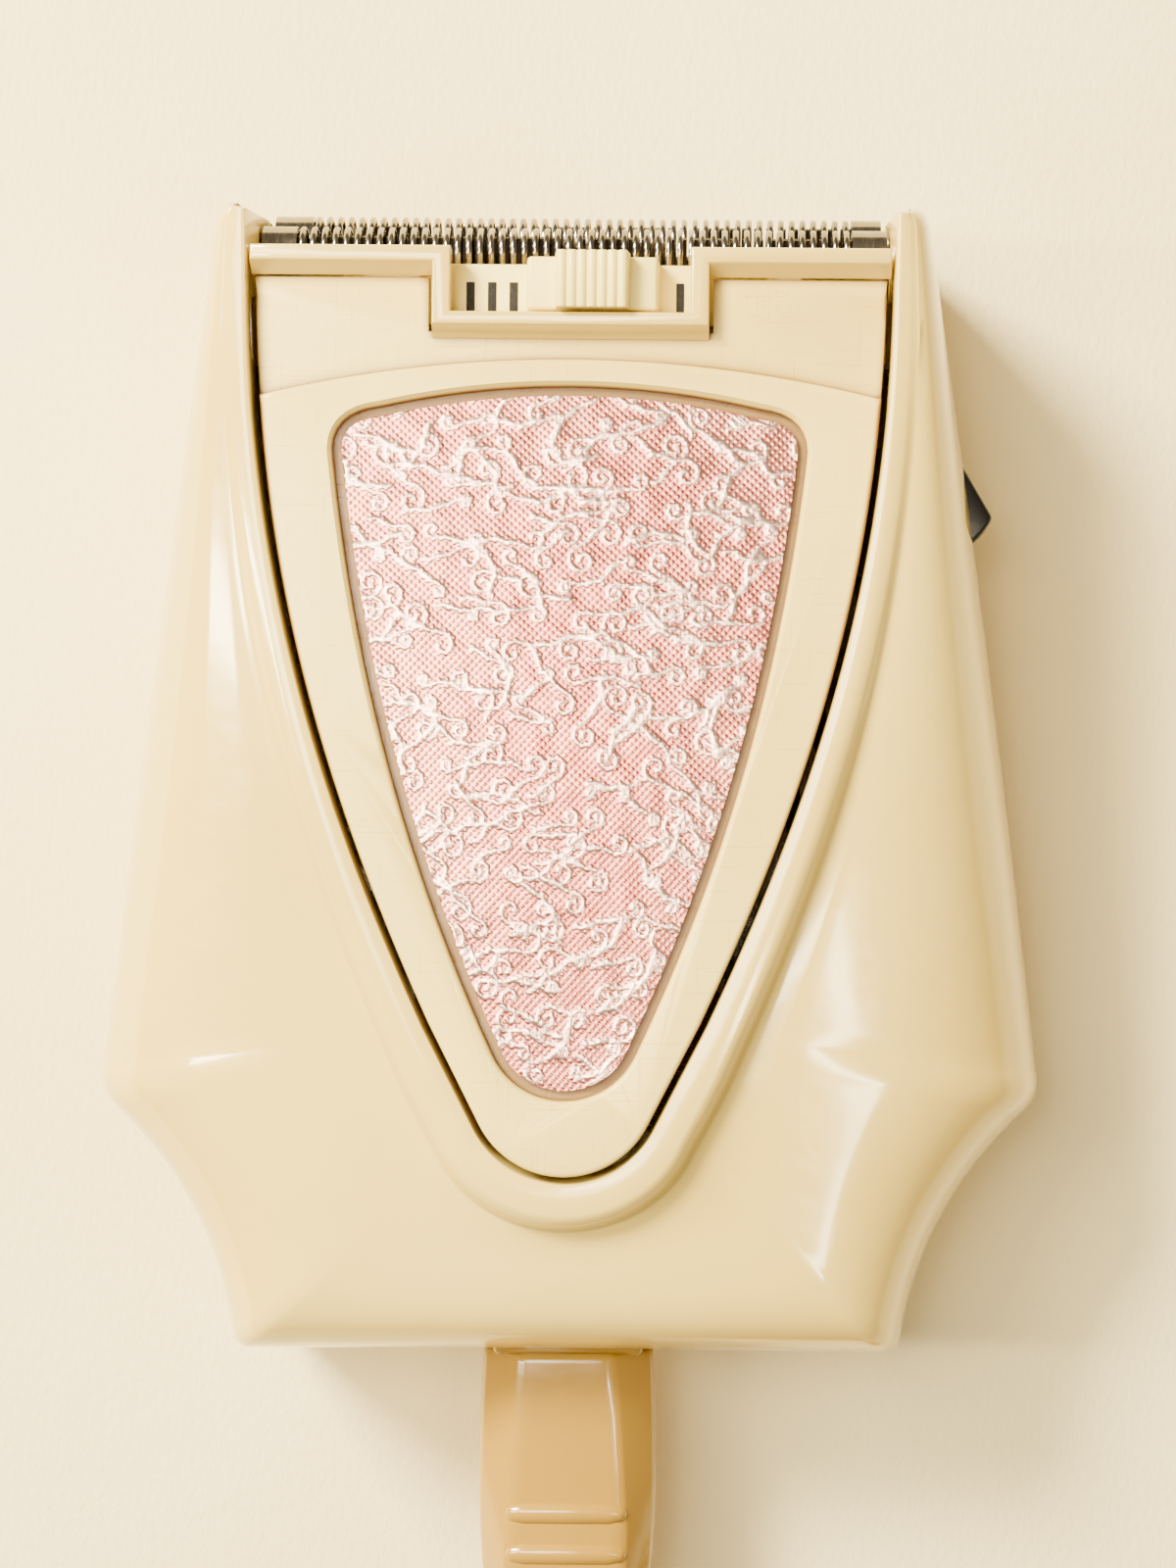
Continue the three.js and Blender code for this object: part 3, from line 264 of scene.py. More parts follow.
def combine(obj, tool, operation):
    """Boolean with a tool object, which is then removed."""
    modifier = obj.modifiers.new("cut", "BOOLEAN")
    modifier.operation = operation
    modifier.object = tool
    modifier.solver = "EXACT"
    apply_modifiers(obj)
    bpy.data.objects.remove(tool)
    shade(obj)
    return obj


def cut(obj, tool):
    return combine(obj, tool, "DIFFERENCE")


BOX_FACES = ((3, 2, 1, 0), (4, 5, 6, 7), (0, 1, 5, 4), (1, 2, 6, 5), (2, 3, 7, 6), (3, 0, 4, 7))


def rectangle(x, y):
    """Corners between two values along each of two axes, in counter-clockwise order."""
    return ((x[0], y[0]), (x[1], y[0]), (x[1], y[1]), (x[0], y[1]))


def box_tool(x, y, z, matrix=None):
    """A plain box for cutting, between two values along each axis."""
    corners = [place(a, b, c) for c in z for a, b in rectangle(x, y)]
    if matrix:
        corners = [matrix @ p for p in corners]
    return make_object("tool", corners, BOX_FACES, MATERIALS["steel"])


def joined(name, objects, material):
    """Several objects made into one, all of one material."""
    bm = bmesh.new()
    for obj in objects:
        bm.from_mesh(obj.data)
    mesh = bpy.data.meshes.new(name)
    bm.to_mesh(mesh)
    bm.free()
    mesh.materials.append(material)
    for obj in objects:
        bpy.data.objects.remove(obj)
    result = bpy.data.objects.new(name, mesh)
    bpy.context.scene.collection.objects.link(result)
    shade(result)
    return result


def stands_for(obj, body, slot, *nodes):
    """Rides the piece on its body in place of CAD nodes."""
    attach(obj, body)
    if nodes:
        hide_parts(*nodes)
    return obj


# ---------------------------------------------------------------- materials


class Shader:
    """A node material built step by step in object coordinates."""

    def __init__(self, name):
        self.material = bpy.data.materials.new(name)
        self.material.use_nodes = True
        self.tree = self.material.node_tree
        self.surface = self.tree.nodes["Principled BSDF"]
        self.coordinates = self.tree.nodes.new("ShaderNodeTexCoord").outputs["Object"]

    def link(self, source, target):
        self.tree.links.new(source, target)

    def scaled(self, scale, turn=(0, 0, 0)):
        """Object coordinates in millimetres times a scale along each axis."""
        node = self.tree.nodes.new("ShaderNodeMapping")
        node.inputs["Scale"].default_value = [s * 1000 for s in scale]
        node.inputs["Rotation"].default_value = turn
        self.link(self.coordinates, node.inputs["Vector"])
        return node.outputs["Vector"]

    def noise(self, scale=(1, 1, 1), detail=4, roughness=0.55, turn=(0, 0, 0), distortion=0):
        node = self.tree.nodes.new("ShaderNodeTexNoise")
        node.inputs["Scale"].default_value = 1
        node.inputs["Detail"].default_value = detail
        node.inputs["Roughness"].default_value = roughness
        node.inputs["Distortion"].default_value = distortion
        self.link(self.scaled(scale, turn), node.inputs["Vector"])
        return node.outputs["Fac"]

    def spread(self, value, low, high, out_low=0, out_high=1):
        """Maps a range of a value onto another, clamped."""
        node = self.tree.nodes.new("ShaderNodeMapRange")
        node.inputs["From Min"].default_value = low
        node.inputs["From Max"].default_value = high
        node.inputs["To Min"].default_value = out_low
        node.inputs["To Max"].default_value = out_high
        self.link(value, node.inputs["Value"])
        return node.outputs["Result"]

    def math(self, operation, a, b):
        node = self.tree.nodes.new("ShaderNodeMath")
        node.operation = operation
        for socket, value in zip(node.inputs, (a, b)):
            if isinstance(value, (int, float)):
                socket.default_value = value
            else:
                self.link(value, socket)
        return node.outputs["Value"]

    def mix(self, factor, a, b):
        """Mixes two colours, each an RGB triple or a socket."""
        node = self.tree.nodes.new("ShaderNodeMix")
        node.data_type = "RGBA"
        self.link(factor, node.inputs["Factor"])
        for socket, value in ((node.inputs[6], a), (node.inputs[7], b)):
            if isinstance(value, tuple):
                socket.default_value = (*value, 1)
            else:
                self.link(value, socket)
        return node.outputs[2]

    def bump(self, height, distance, under=None):
        """A bump whose distance is in millimetres."""
        node = self.tree.nodes.new("ShaderNodeBump")
        node.inputs["Distance"].default_value = distance * MM
        self.link(height, node.inputs["Height"])
        if under:
            self.link(under, node.inputs["Normal"])
        return node.outputs["Normal"]

    def done(self, colour, roughness, normal, **constants):
        """Feeds the surface from three sockets, with its other inputs as constants."""
        self.link(colour, self.surface.inputs["Base Color"])
        self.link(roughness, self.surface.inputs["Roughness"])
        self.link(normal, self.surface.inputs["Normal"])
        for name, value in constants.items():
            self.surface.inputs[name.replace("_", " ")].default_value = value
        return self.material


def moulded(name, pale, deep, roughness, coat=0.0):
    """Moulded plastic: slow yellowing, fine mottling, dulling scuffs and a faint surface ripple."""
    s = Shader(name)
    yellowing = s.spread(s.noise((0.02, 0.02, 0.02), 2), 0.35, 0.65)
    mottling = s.spread(s.noise((0.9, 0.9, 0.9), 5, 0.65), 0.3, 0.8, 0, 0.35)
    colour = s.mix(s.math("MAXIMUM", yellowing, mottling), pale, deep)
    scuffs = s.spread(s.noise((0.12, 2.4, 0.12), 6, 0.7, (0, 0, 0.5), 0.6), 0.62, 0.75, 0, 0.5)
    dull = s.math("ADD", scuffs, s.spread(s.noise((0.2, 0.2, 0.2), 3), 0.3, 0.7, 0, 0.25))
    finish = s.spread(dull, 0, 1, roughness, roughness + 0.3)
    ripple = s.bump(s.noise((0.25, 0.25, 0.25), 2), 0.06)
    normal = s.bump(s.noise((6, 6, 6), 2), 0.003, under=ripple)
    return s.done(colour, finish, normal, IOR=1.5, Coat_Weight=coat, Coat_Roughness=0.08)


def worn_shield(name, pale, deep, grime_and_shade):
    """The shield's plastic: as moulded, with fine crossing scratches, brown grime in patches, and grime
    and painted shade darkening its crevices.
    """
    s = Shader(name)
    cloud = s.spread(s.noise((0.03, 0.03, 0.03), 3), 0.35, 0.65)
    base = s.mix(cloud, pale, deep)
    dirt_place = s.spread(s.noise((0.11, 0.11, 0.11), 4, 0.7), 0.56, 0.72)
    dirt_grain = s.spread(s.noise((3, 3, 3), 6, 0.8), 0.52, 0.66)
    stained = s.mix(s.math("MULTIPLY", s.math("MULTIPLY", dirt_place, dirt_grain), 0.5), base, grime_and_shade)
    first = s.spread(s.noise((0.1, 9, 0.1), 3, 0.5, (0, 0, 0.9)), 0.66, 0.72)
    second = s.spread(s.noise((9, 0.12, 0.1), 3, 0.5, (0, 0, 0.35)), 0.67, 0.73)
    scratches = s.math("MAXIMUM", first, second)
    scratched = s.mix(s.math("MULTIPLY", scratches, 0.25), stained, grime_and_shade)
    # Partly painted shade, partly grime: ambient occlusion turns the colour to the grime colour in
    # crevices and recesses.
    crevice_shade_ao = s.tree.nodes.new("ShaderNodeAmbientOcclusion")
    crevice_shade_ao.inputs["Distance"].default_value = 1.3 * MM
    corner = s.spread(crevice_shade_ao.outputs["AO"], 0.58, 0.97)
    colour = s.mix(corner, grime_and_shade, scratched)
    finish = s.spread(s.math("ADD", scratches, s.noise((0.3, 0.3, 0.3), 3)), 0.2, 1.6, 0.24, 0.62)
    normal = s.bump(s.math("SUBTRACT", 1, scratches), 0.012)
    return s.done(colour, finish, normal, IOR=1.5)


def metal(name, pale, deep, roughness, grain=(0.3, 14, 14), bump=0.006):
    """Metal with ground or drawn lines along one axis and a slow change of tone."""
    s = Shader(name)
    tone = s.spread(s.noise((0.15, 0.15, 0.15), 3), 0.3, 0.7)
    lines = s.noise(grain, 3, 0.6)
    colour = s.mix(s.math("MULTIPLY", s.math("ADD", tone, lines), 0.5), deep, pale)
    finish = s.spread(lines, 0.3, 0.7, roughness, roughness + 0.16)
    return s.done(colour, finish, s.bump(lines, bump), Metallic=1.0)


RIDGE = "ridge"  # how far a point of the foil is up an embossed line, from 0 to 1


def embossed_foil(name):
    """Rose foil: a fine diamond hatch, darker in its hollows, with a soft pearl change of hue and painted
    highlights along its embossed lines.
    """
    s = Shader(name)
    pearl = s.spread(s.noise((0.05, 0.03, 0.05), 2), 0.35, 0.65)
    hue = s.mix(pearl, (0.78, 0.25, 0.19), (0.86, 0.37, 0.28))
    ridge = s.tree.nodes.new("ShaderNodeAttribute")
    ridge.attribute_name = RIDGE
    waves = []
    for turn in (math.radians(42), math.radians(-48)):
        node = s.tree.nodes.new("ShaderNodeTexWave")
        node.inputs["Scale"].default_value = 0.62
        node.inputs["Distortion"].default_value = 0
        s.link(s.scaled((1, 1, 1), (0, 0, turn)), node.inputs["Vector"])
        waves.append(node.outputs["Fac"])
    hatch = s.math("MULTIPLY", s.math("MULTIPLY", *waves), s.math("SUBTRACT", 1, ridge.outputs["Fac"]))
    hatched = s.mix(s.math("MULTIPLY", hatch, 0.4), hue, (0.4, 0.07, 0.06))
    # Painted highlight: the embossed lines are painted near white over the hatched foil.
    colour = s.mix(s.math("MULTIPLY", ridge.outputs["Fac"], 0.9), hatched, (1, 0.82, 0.7))
    crinkle = s.bump(s.noise((0.5, 2.2, 0.5), 4, 0.6), 0.02)
    normal = s.bump(hatch, 0.03, under=crinkle)
    finish = s.spread(s.noise((2, 2, 2), 3), 0.3, 0.7, 0.17, 0.3)
    return s.done(colour, finish, normal, Metallic=0.95, Coat_Weight=0.3, Coat_Roughness=0.1)


def grained(name, pale, deep, roughness):
    """A cast, wound or moulded inner surface with an even grain."""
    s = Shader(name)
    cells = s.noise((3, 3, 3), 4, 0.7)
    colour = s.mix(s.spread(cells, 0.3, 0.7), deep, pale)
    finish = s.spread(cells, 0.3, 0.7, roughness, roughness + 0.2)
    return s.done(colour, finish, s.bump(cells, 0.03))


def wound(name, pale, deep):
    """Fine copper wire laid side by side."""
    s = Shader(name)
    node = s.tree.nodes.new("ShaderNodeTexWave")
    node.bands_direction = "Y"
    node.inputs["Scale"].default_value = 1.1
    node.inputs["Distortion"].default_value = 0.4
    s.link(s.scaled((1, 1, 1)), node.inputs["Vector"])
    colour = s.mix(node.outputs["Fac"], deep, pale)
    finish = s.spread(s.noise((1, 1, 1), 2), 0.3, 0.7, 0.3, 0.45)
    return s.done(colour, finish, s.bump(node.outputs["Fac"], 0.15), Metallic=0.85)


def cloth_floor(name):
    """Plain pale floor, with a barely visible grain."""
    s = Shader(name)
    tone = s.spread(s.noise((0.01, 0.01, 0.01), 3), 0.3, 0.7)
    colour = s.mix(tone, (0.93, 0.78, 0.4), (0.98, 0.89, 0.52))
    finish = s.spread(s.noise((1, 1, 1), 2), 0.3, 0.7, 0.85, 0.95)
    return s.done(colour, finish, s.bump(s.noise((1.6, 0.8, 1), 4), 0.12))


MATERIALS = {
    "ivory_plastic": moulded("ivory plastic", (0.84, 0.64, 0.16), (0.75, 0.55, 0.115), 0.12, coat=0.9),
    "shield_plastic": worn_shield(
        "shield plastic", (0.9, 0.72, 0.19), (0.8, 0.6, 0.14), (0.2, 0.1, 0.02)),
    "slide_plastic": moulded("slide plastic", (0.97, 0.86, 0.26), (0.92, 0.77, 0.2), 0.3),
    "inlay_foil": embossed_foil("rose foil"),
    "steel": metal("ground steel", (0.7, 0.68, 0.64), (0.42, 0.4, 0.37), 0.2),
    "comb_steel": metal("comb steel", (0.5, 0.45, 0.37), (0.13, 0.11, 0.08), 0.1, (9, 0.6, 0.6)),
    # Painted shade: the cutters are painted near black so the gaps between the comb teeth read as deep
    # shade.
    "shade_dark_cutter_steel": metal("cutter steel painted shade dark", (0.06, 0.05, 0.04), (0.02, 0.016, 0.012), 0.5),
    "laminated_iron": metal(
        "laminated iron", (0.32, 0.32, 0.33), (0.16, 0.15, 0.15), 0.4, (0.5, 0.5, 9), 0.05),
    "copper_winding": wound("copper winding", (0.75, 0.38, 0.18), (0.3, 0.12, 0.05)),
    "brass": metal("brass", (0.76, 0.56, 0.22), (0.58, 0.38, 0.12), 0.25),
    "black_plastic": moulded("black plastic", (0.004, 0.0035, 0.003), (0.007, 0.006, 0.005), 0.3),
    "wire_sleeve": grained("wire sleeve", (0.03, 0.03, 0.03), (0.015, 0.015, 0.015), 0.5),
    "phenolic": grained("phenolic", (0.12, 0.06, 0.035), (0.06, 0.03, 0.02), 0.45),
    "pale_core": grained("pale core", (0.72, 0.62, 0.44), (0.62, 0.5, 0.34), 0.45),
    "tan_plastic": moulded("tan plastic", (0.42, 0.245, 0.024), (0.33, 0.185, 0.016), 0.16, coat=0.7),
    "tan_cord": moulded("tan cord", (0.42, 0.22, 0.022), (0.32, 0.16, 0.014), 0.34),
    "mark_ink": grained("mark ink", (0.002, 0.002, 0.002), (0.004, 0.004, 0.004), 0.7),
    "floor": cloth_floor("floor cloth"),
}

# ---------------------------------------------------------------- camera, floor and light

CAMERA_AT = (10.4, 51.6, 298.5)
CAMERA_ROLL = math.radians(0.45)
FLOOR_HALF_WIDTH = 1500
FLOOR_Z = -0.05


def make_camera():
    data = bpy.data.cameras.new("camera")
    data.sensor_fit = "VERTICAL"
    data.sensor_height = 36
    data.lens = 70.8
    data.shift_x = -0.0625
    data.clip_start = 0.01
    data.dof.use_dof = False
    camera = bpy.data.objects.new("camera", data)
    camera.location = place(*CAMERA_AT)
    camera.rotation_euler = (0, 0, CAMERA_ROLL)
    bpy.context.scene.collection.objects.link(camera)
    bpy.context.scene.camera = camera


def make_floor():
    span = (-FLOOR_HALF_WIDTH, FLOOR_HALF_WIDTH)
    corners = [place(x, y, FLOOR_Z) for x, y in rectangle(span, span)]
    floor = make_object("floor", corners, [(0, 1, 2, 3)], MATERIALS["floor"])


def area_light(name, position, target, size, power, colour):
    data = bpy.data.lights.new(name, "AREA")
    data.shape = "RECTANGLE"
    data.size, data.size_y = size
    data.energy = power
    data.color = colour
    light = bpy.data.objects.new(name, data)
    light.location = position
    aim = Vector(target) - Vector(position)
    light.rotation_euler = aim.to_track_quat("-Z", "Y").to_euler()
    bpy.context.scene.collection.objects.link(light)


def make_light():
    world = bpy.data.worlds.new("room")
    world.use_nodes = True
    background = world.node_tree.nodes["Background"]
    background.inputs["Color"].default_value = (1, 0.84, 0.6, 1)
    background.inputs["Strength"].default_value = 0.36
    bpy.context.scene.world = world
    warm = (1, 0.86, 0.64)
    area_light("window", (-0.45, 0.42, 0.55), (0, 0, 0), (0.24, 0.24), 31, warm)
    area_light("lamp", (-0.2, 0.12, 0.6), (0, 0, 0), (0.16, 0.34), 3.4, warm)
    area_light("card", (-0.05, 0.07, 0.6), (-0.05, 0.07, 0), (0.085, 0.2), 0.7, warm)
    area_light("left tube", (-0.4, 0.02, 0.5), (0, 0, 0), (0.035, 0.3), 3, warm)
    area_light("right tube", (0.17, -0.1, 0.5), (0, 0, 0), (0.02, 0.16), 0.5, warm)


# ---------------------------------------------------------------- cord set


def lead_route():
    return bezier(CORD_EXIT, (0, -60, 13), (-1.85, -72.9, 3), (-8.85, -85, 3))


def tail_route():
    return bezier((43.4, -99, 15.15), (43.4, -91, 15.15), (PLUG_X, -82, PLUG_Z), (PLUG_X, -74, PLUG_Z))


def coil_places():
    """(column, layer) of each turn: in along one layer, out along the next."""
    order = []
    for layer in range(len(COIL_LAYERS)):
        columns = range(len(COIL_COLUMNS))
        order += [(column, layer) for column in (columns if layer % 2 == 0 else reversed(columns))]
    return order


def coil_route():
    """The wound part of the cord, which moves on by one place each time it passes under the tie."""
    start, crossing, spread = 150, 270, 32
    end = 360 * (COIL_TURNS + 1)
    order = coil_places()
    last = len(order) - 1
    points = []
    for angle in range(start, end + 1, 10):
        done = (angle - crossing + spread) / 360
        index = max(int(math.floor(done)), -1)
        share = smooth((done - index) * 360 / (2 * spread)) if index >= 0 else 0
        now = order[min(max(index, 0), last)]
        after = order[min(index + 1, last)]
        radius = lerp(COIL_COLUMNS[now[0]], COIL_COLUMNS[after[0]], share)
        height = lerp(COIL_LAYERS[now[1]], COIL_LAYERS[after[1]], share)
        turn = math.radians(angle)
        points.append((
            COIL_CENTRE[0] + radius * math.cos(turn),
            COIL_CENTRE[1] + radius * math.sin(turn),
            height,
        ))
    return points


def make_cord(with_pieces):
    lead = [tuple(p) for p in samples(lead_route(), 18)]
    tail = [tuple(p) for p in samples(tail_route(), 14)]
    route = lead[:-1] + coil_route() + tail[1:]
    curve = bpy.data.curves.new("mains_cord", "CURVE")
    curve.dimensions = "3D"
    curve.bevel_depth = (CORD_RADIUS - 0.02) * MM
    curve.bevel_resolution = 3
    curve.use_fill_caps = True
    spline = curve.splines.new("POLY")
    spline.points.add(len(route) - 1)
    for point, at in zip(spline.points, route):
        point.co = (*place(*at), 1)
    spline.use_smooth = True
    curve.materials.append(MATERIALS["tan_cord"])
    cord = bpy.data.objects.new("mains_cord", curve)
    bpy.context.scene.collection.objects.link(cord)
    stands_for(cord, "housing", "tan_cord", "cord_lead", "cord_coil", "cord_tail")


# ---------------------------------------------------------------- housing

flank_start = Vector((
    TIP_RADIUS * math.cos(FLANK_ANGLE),
    TIP_Y + TIP_RADIUS - TIP_RADIUS * math.sin(FLANK_ANGLE),
))
tip_arc = arc((0, TIP_Y + TIP_RADIUS), TIP_RADIUS, -math.pi / 2, -FLANK_ANGLE)
flank = bezier(flank_start, (12.3, 30.4))
shoulder = bezier((12.3, 30.4), (22.6, 52.4), (28.1, 72), (28.3, 96))
ear_side = bezier((28.3, 96), (EAR_INSIDE_X, EAR_TOP_Y))
base_edge = bezier((0, 0), (28.9, 0))
base_corner = bezier((28.9, 0), (30.2, 0), (30.5, 1.6))
waist = bezier((30.5, 1.6), (31.6, 8.5), (34.5, 15.5), (41.4, 21.8))
wing_tip = bezier((41.4, 21.8), (43.3, 23.4), (42.7, 25.8))
long_side = bezier((42.7, 25.8), (38.5, 62), (32.35, 101.2))
ear_corner = bezier((32.35, 101.2), (32, EAR_TOP_Y), (30.7, EAR_TOP_Y))
rest_ear = bezier((EAR_INSIDE_X, 95), (EAR_INSIDE_X, EAR_TOP_Y))


def catmull(*points):
    """A smooth curve through points, as a function of t."""
    points = [Vector(p) for p in points]

    def at(t):
        place_on = min(max(t, 0), 1) * (len(points) - 1)
        i = min(int(place_on), len(points) - 2)
        w = place_on - i
        a, b = points[i], points[i + 1]
        before, after = points[max(i - 1, 0)], points[min(i + 2, len(points) - 1)]
        out, back = (b - before) * 0.5, (after - a) * 0.5
        return (
            a * (2 * w**3 - 3 * w**2 + 1) + out * (w**3 - 2 * w**2 + w)
            + b * (3 * w**2 - 2 * w**3) + back * (w**3 - w**2)
        )

    return at


rest_half = catmull((0, 7), (20, 7), (24, 11), (28, 22), (32, 31), (31, 55), (EAR_INSIDE_X, 95))

# Stretches of the V opening and of the back's flat, each with its stretch of the silhouette, its
# number of steps, the power of the rounding across it, and how far the front's wall leans in.
SPANS = (
    (tip_arc, part_of(rest_half, 0, 0.17), base_edge, 26, (4.5, 4.5), (0.1, 0.1)),
    (part_of(flank, 0, 0.15), part_of(rest_half, 0.17, 0.22), base_corner, 12, (4.5, 4), (0.1, 0.06)),
    (part_of(flank, 0.15, 0.8), part_of(rest_half, 0.22, 0.45), waist, 30, (4, 2.6), (0.06, 0)),
    (part_of(flank, 0.8, 1), part_of(rest_half, 0.45, 0.5), wing_tip, 12, (2.6, 2.4), (0, 0)),
    (shoulder, part_of(rest_half, 0.5, 1), part_of(long_side, 0, 0.93), 44, (2.4, 2.4), (0, 0.02)),
    (part_of(ear_side, 0, 0.7), part_of(rest_ear, 0, 0.7), part_of(long_side, 0.93, 1),
        6, (2.4, 2.5), (0.02, 0.02)),
    (part_of(ear_side, 0.7, 1), part_of(rest_ear, 0.7, 1), ear_corner, 12, (2.5, 2.5), (0.02, 0.02)),
)


def right_stations():
    """(opening, rest, edge, power, lean) round the right half, from the base's middle to the ear."""
    stations = []
    for opening, rest, edge, steps, power, lean in SPANS:
        for step in range(1 if stations else 0, steps + 1):
            t = step / steps
            stations.append((opening(t), rest(t), edge(t), lerp(*power, t), lerp(*lean, t)))
    return stations


def all_stations():
    """Stations from the left ear round the base end to the right ear."""
    right = right_stations()
    left = [
        (*(Vector((-p.x, p.y)) for p in station[:3]), *station[3:])
        for station in reversed(right[1:])
    ]
    return left + right


def rim_height(y):
    return ramp(y, (14, RIM_TIP_Z), (96, RIM_HEAD_Z))


def rim_step(y):
    return ramp(y, (14, 2.6), (96, 0.4))


def rim_width(y):
    return ramp(y, (17, 3.2), (68, 1.5), (90, 0.8))


def rounding(degrees, power, start, end, top, bottom):
    """Distance and height on the wing's rounding for an angle of 0 to 90 degrees."""
    angle = math.radians(degrees)
    out = math.sin(angle) ** (2 / power)
    up = max(math.cos(angle), 0) ** (2 / power)
    return lerp(start, end, out), lerp(bottom, top, up)


def ear_drop(y, z):
    """How far the tip of an ear falls back at a height."""
    return min(max((y - 97) / 6, 0), 1) * 0.022 * max(z - 21, 0) ** 2


def front_section(station):
    """Closed section of the front shell: rounded rim, hollow foot, wing, and the inside."""
    opening, _, edge, power, lean = station
    reach = (edge - opening).length
    wall = min(SHELL_WALL, 0.3 * reach)
    rim, bottom = rim_height(opening.y), PARTING_Z + GAP / 2
    foot = rim - rim_step(opening.y)
    rim_end = rim_width(opening.y)
    foot_at = rim_end + min(1.2, 0.2 * reach)
    lip = bottom if opening.y > 95 else foot - LIP_DEPTH
    soft = min(0.35, 0.4 * rim_end, 0.8 * rim_step(opening.y))
    corners = ((0, rim - soft), (0.29 * soft, rim - 0.29 * soft), (soft, rim))
    outside = [(0, lip), *corners, (rim_end - soft, rim), (rim_end - 0.2 * soft, rim - 0.25 * soft)]
    run = foot_at + 0.35 * (foot_at - rim_end) - rim_end
    for t in (0.25, 0.45, 0.65, 0.85, 1):
        outside.append((rim_end + run * t**0.8, lerp(rim - 0.25 * soft, foot, smooth(t))))
    first = (outside[-1][0] - foot_at) / (reach - foot_at)
    for degrees in (4, 10, 18, 26, 34, 42, 50, 58, 66, 74, 82, 90):
        distance, z = rounding(degrees, power, foot_at, reach, foot, bottom)
        outside.append((max(distance, outside[-1][0] + 0.01 * first), z))
    start = max(foot_at, wall + 0.4)
    inside = [(wall, lip), (wall, foot - wall), (wall + 0.2, foot - wall), (start, foot - wall)]
    for degrees in (30, 52, 72, 90):
        inside.append(rounding(degrees, power, start, reach - wall, foot - wall, bottom))
    section = []
    for distance, z in outside + inside[::-1]:
        leant = distance - lean * (z - bottom) * (distance / reach) ** 2
        at = opening.lerp(edge, leant / reach)
        x = min(max(at.x, -HALF_WIDTH), HALF_WIDTH)
        section.append((x, at.y - ear_drop(at.y, z), z))
    return section


def back_rings(wall, top, limit=1000):
    """Rings of the back's outer form, or of its inside when a wall is given, from the top down."""
    sections = []
    for _, rest, edge, power, _ in all_stations():
        reach = (edge - rest).length
        section = []
        for degrees in (90, 82, 72, 62, 52, 42, 32, 22, 12, 0):
            distance, drop = rounding(degrees, power, 0, reach - wall, PARTING_Z - wall, 0)
            at = rest.lerp(edge, distance / reach)
            z = top if degrees == 90 else PARTING_Z - drop
            section.append((min(max(at.x, -HALF_WIDTH), HALF_WIDTH), min(at.y, limit), z))
        sections.append(section)
    return [[section[level] for section in sections] for level in range(len(sections[0]))]


SCREW_PLACES = ((-25, 9), (25, 9), (-31, 62), (31, 62))


def turned(name, profile, x, y, material):
    """A solid of revolution about the Z axis through a point, from (radius, z) pairs."""
    rings = []
    for radius, z in profile:
        rings.append([(x + radius * math.cos(a), y + radius * math.sin(a), z) for a in turn_angles(32)])
    return loft(name, rings, material)


def switch_matrix():
    """From the switch's frame (+X out of the side wall, +Y along it) to the row frame."""
    return Matrix.Translation(place(*SWITCH_FOOT, 0)) @ Matrix.Rotation(SWITCH_TURN, 4, "Z")


def switch_corners(x, y, z):
    """Cutting box for the rocker's window, in the switch's frame."""
    local = Matrix.Translation(place(0, 0, 0)).inverted()
    return box_tool(x, y, z, switch_matrix() @ local)


def open_sides(shell):
    """Cuts the rocker's window and the inlet's mouth."""
    cut(shell, switch_corners((-4, 5), (-8, 8), (9.3, 18.7)))
    return cut(shell, box_tool((-7.4, 7.4), (-2, SHELL_WALL + 1), (8.7, 17.3)))


def make_front_shell():
    rings = [front_section(station) for station in all_stations()]
    shell = loft("front_housing", rings, MATERIALS["ivory_plastic"], 50)
    open_sides(shell)
    shade(shell, 42)
    stands_for(shell, "housing", "ivory_plastic", "front_shell")


def make_back_shell():
    material = MATERIALS["ivory_plastic"]
    shell = loft("back_housing", back_rings(0, PARTING_Z - GAP / 2), material, 50)
    hollow = loft("tool", back_rings(SHELL_WALL, PARTING_Z + 2, 90), material)
    cut(shell, box_tool((-EAR_INSIDE_X, EAR_INSIDE_X), (100, 110), (-1, 20)))
    cut(shell, hollow)
    cut(shell, box_tool((-EAR_INSIDE_X, EAR_INSIDE_X), (88.5, 110), (3.7, 20)))
    counterbore = ((3.8, -1), (3.6, 0.1), (3.6, 1.4), (1.8, 3), (1.8, 9))
    for x, y in SCREW_PLACES:
        cut(shell, turned("tool", counterbore, x, y, material))
    open_sides(shell)
    shade(shell, 42)
    stands_for(shell, "housing", "ivory_plastic", "back_shell")


# ---------------------------------------------------------------- shield and foil


def opening_half_width(y):
    """Half width of the V opening beside the shield, above its flanks."""
    return next(p.x for p in samples(shoulder, 200) if p.y >= y)


def shield_half(top_y):
    """Right half of the shield's outline up to a height, following the opening with a gap."""
    half = samples(tip_arc, 16) + samples(flank, 3)[1:] + samples(shoulder, 36)[1:]
    moved = grown(mirrored(half), -SHIELD_GAP)
    right = [p for p in moved[: len(half) - 1] if p.y < top_y - 0.6]
    right[0].x = 0
    return right + [Vector((opening_half_width(top_y) - SHIELD_GAP, top_y))]


def pad_height(y):
    return ramp(y, (TIP_Y, PAD_TIP_Z), (PAD_STEP_Y, PAD_HEAD_Z))


def arch_half(half_width, end_y, apex_y, steps):
    """Right half of an arc that bulges to the head, from its end to the middle."""
    rise = apex_y - end_y
    radius = (half_width**2 + rise**2) / (2 * rise)
    widths = [half_width * (1 - i / steps) for i in range(steps + 1)]
    return [Vector((x, apex_y - radius + math.sqrt(radius**2 - x**2))) for x in widths]


inlay_side = bezier((5.48, 28.46), (11.6, 41.5), (17.4, 58), (19.9, 80))


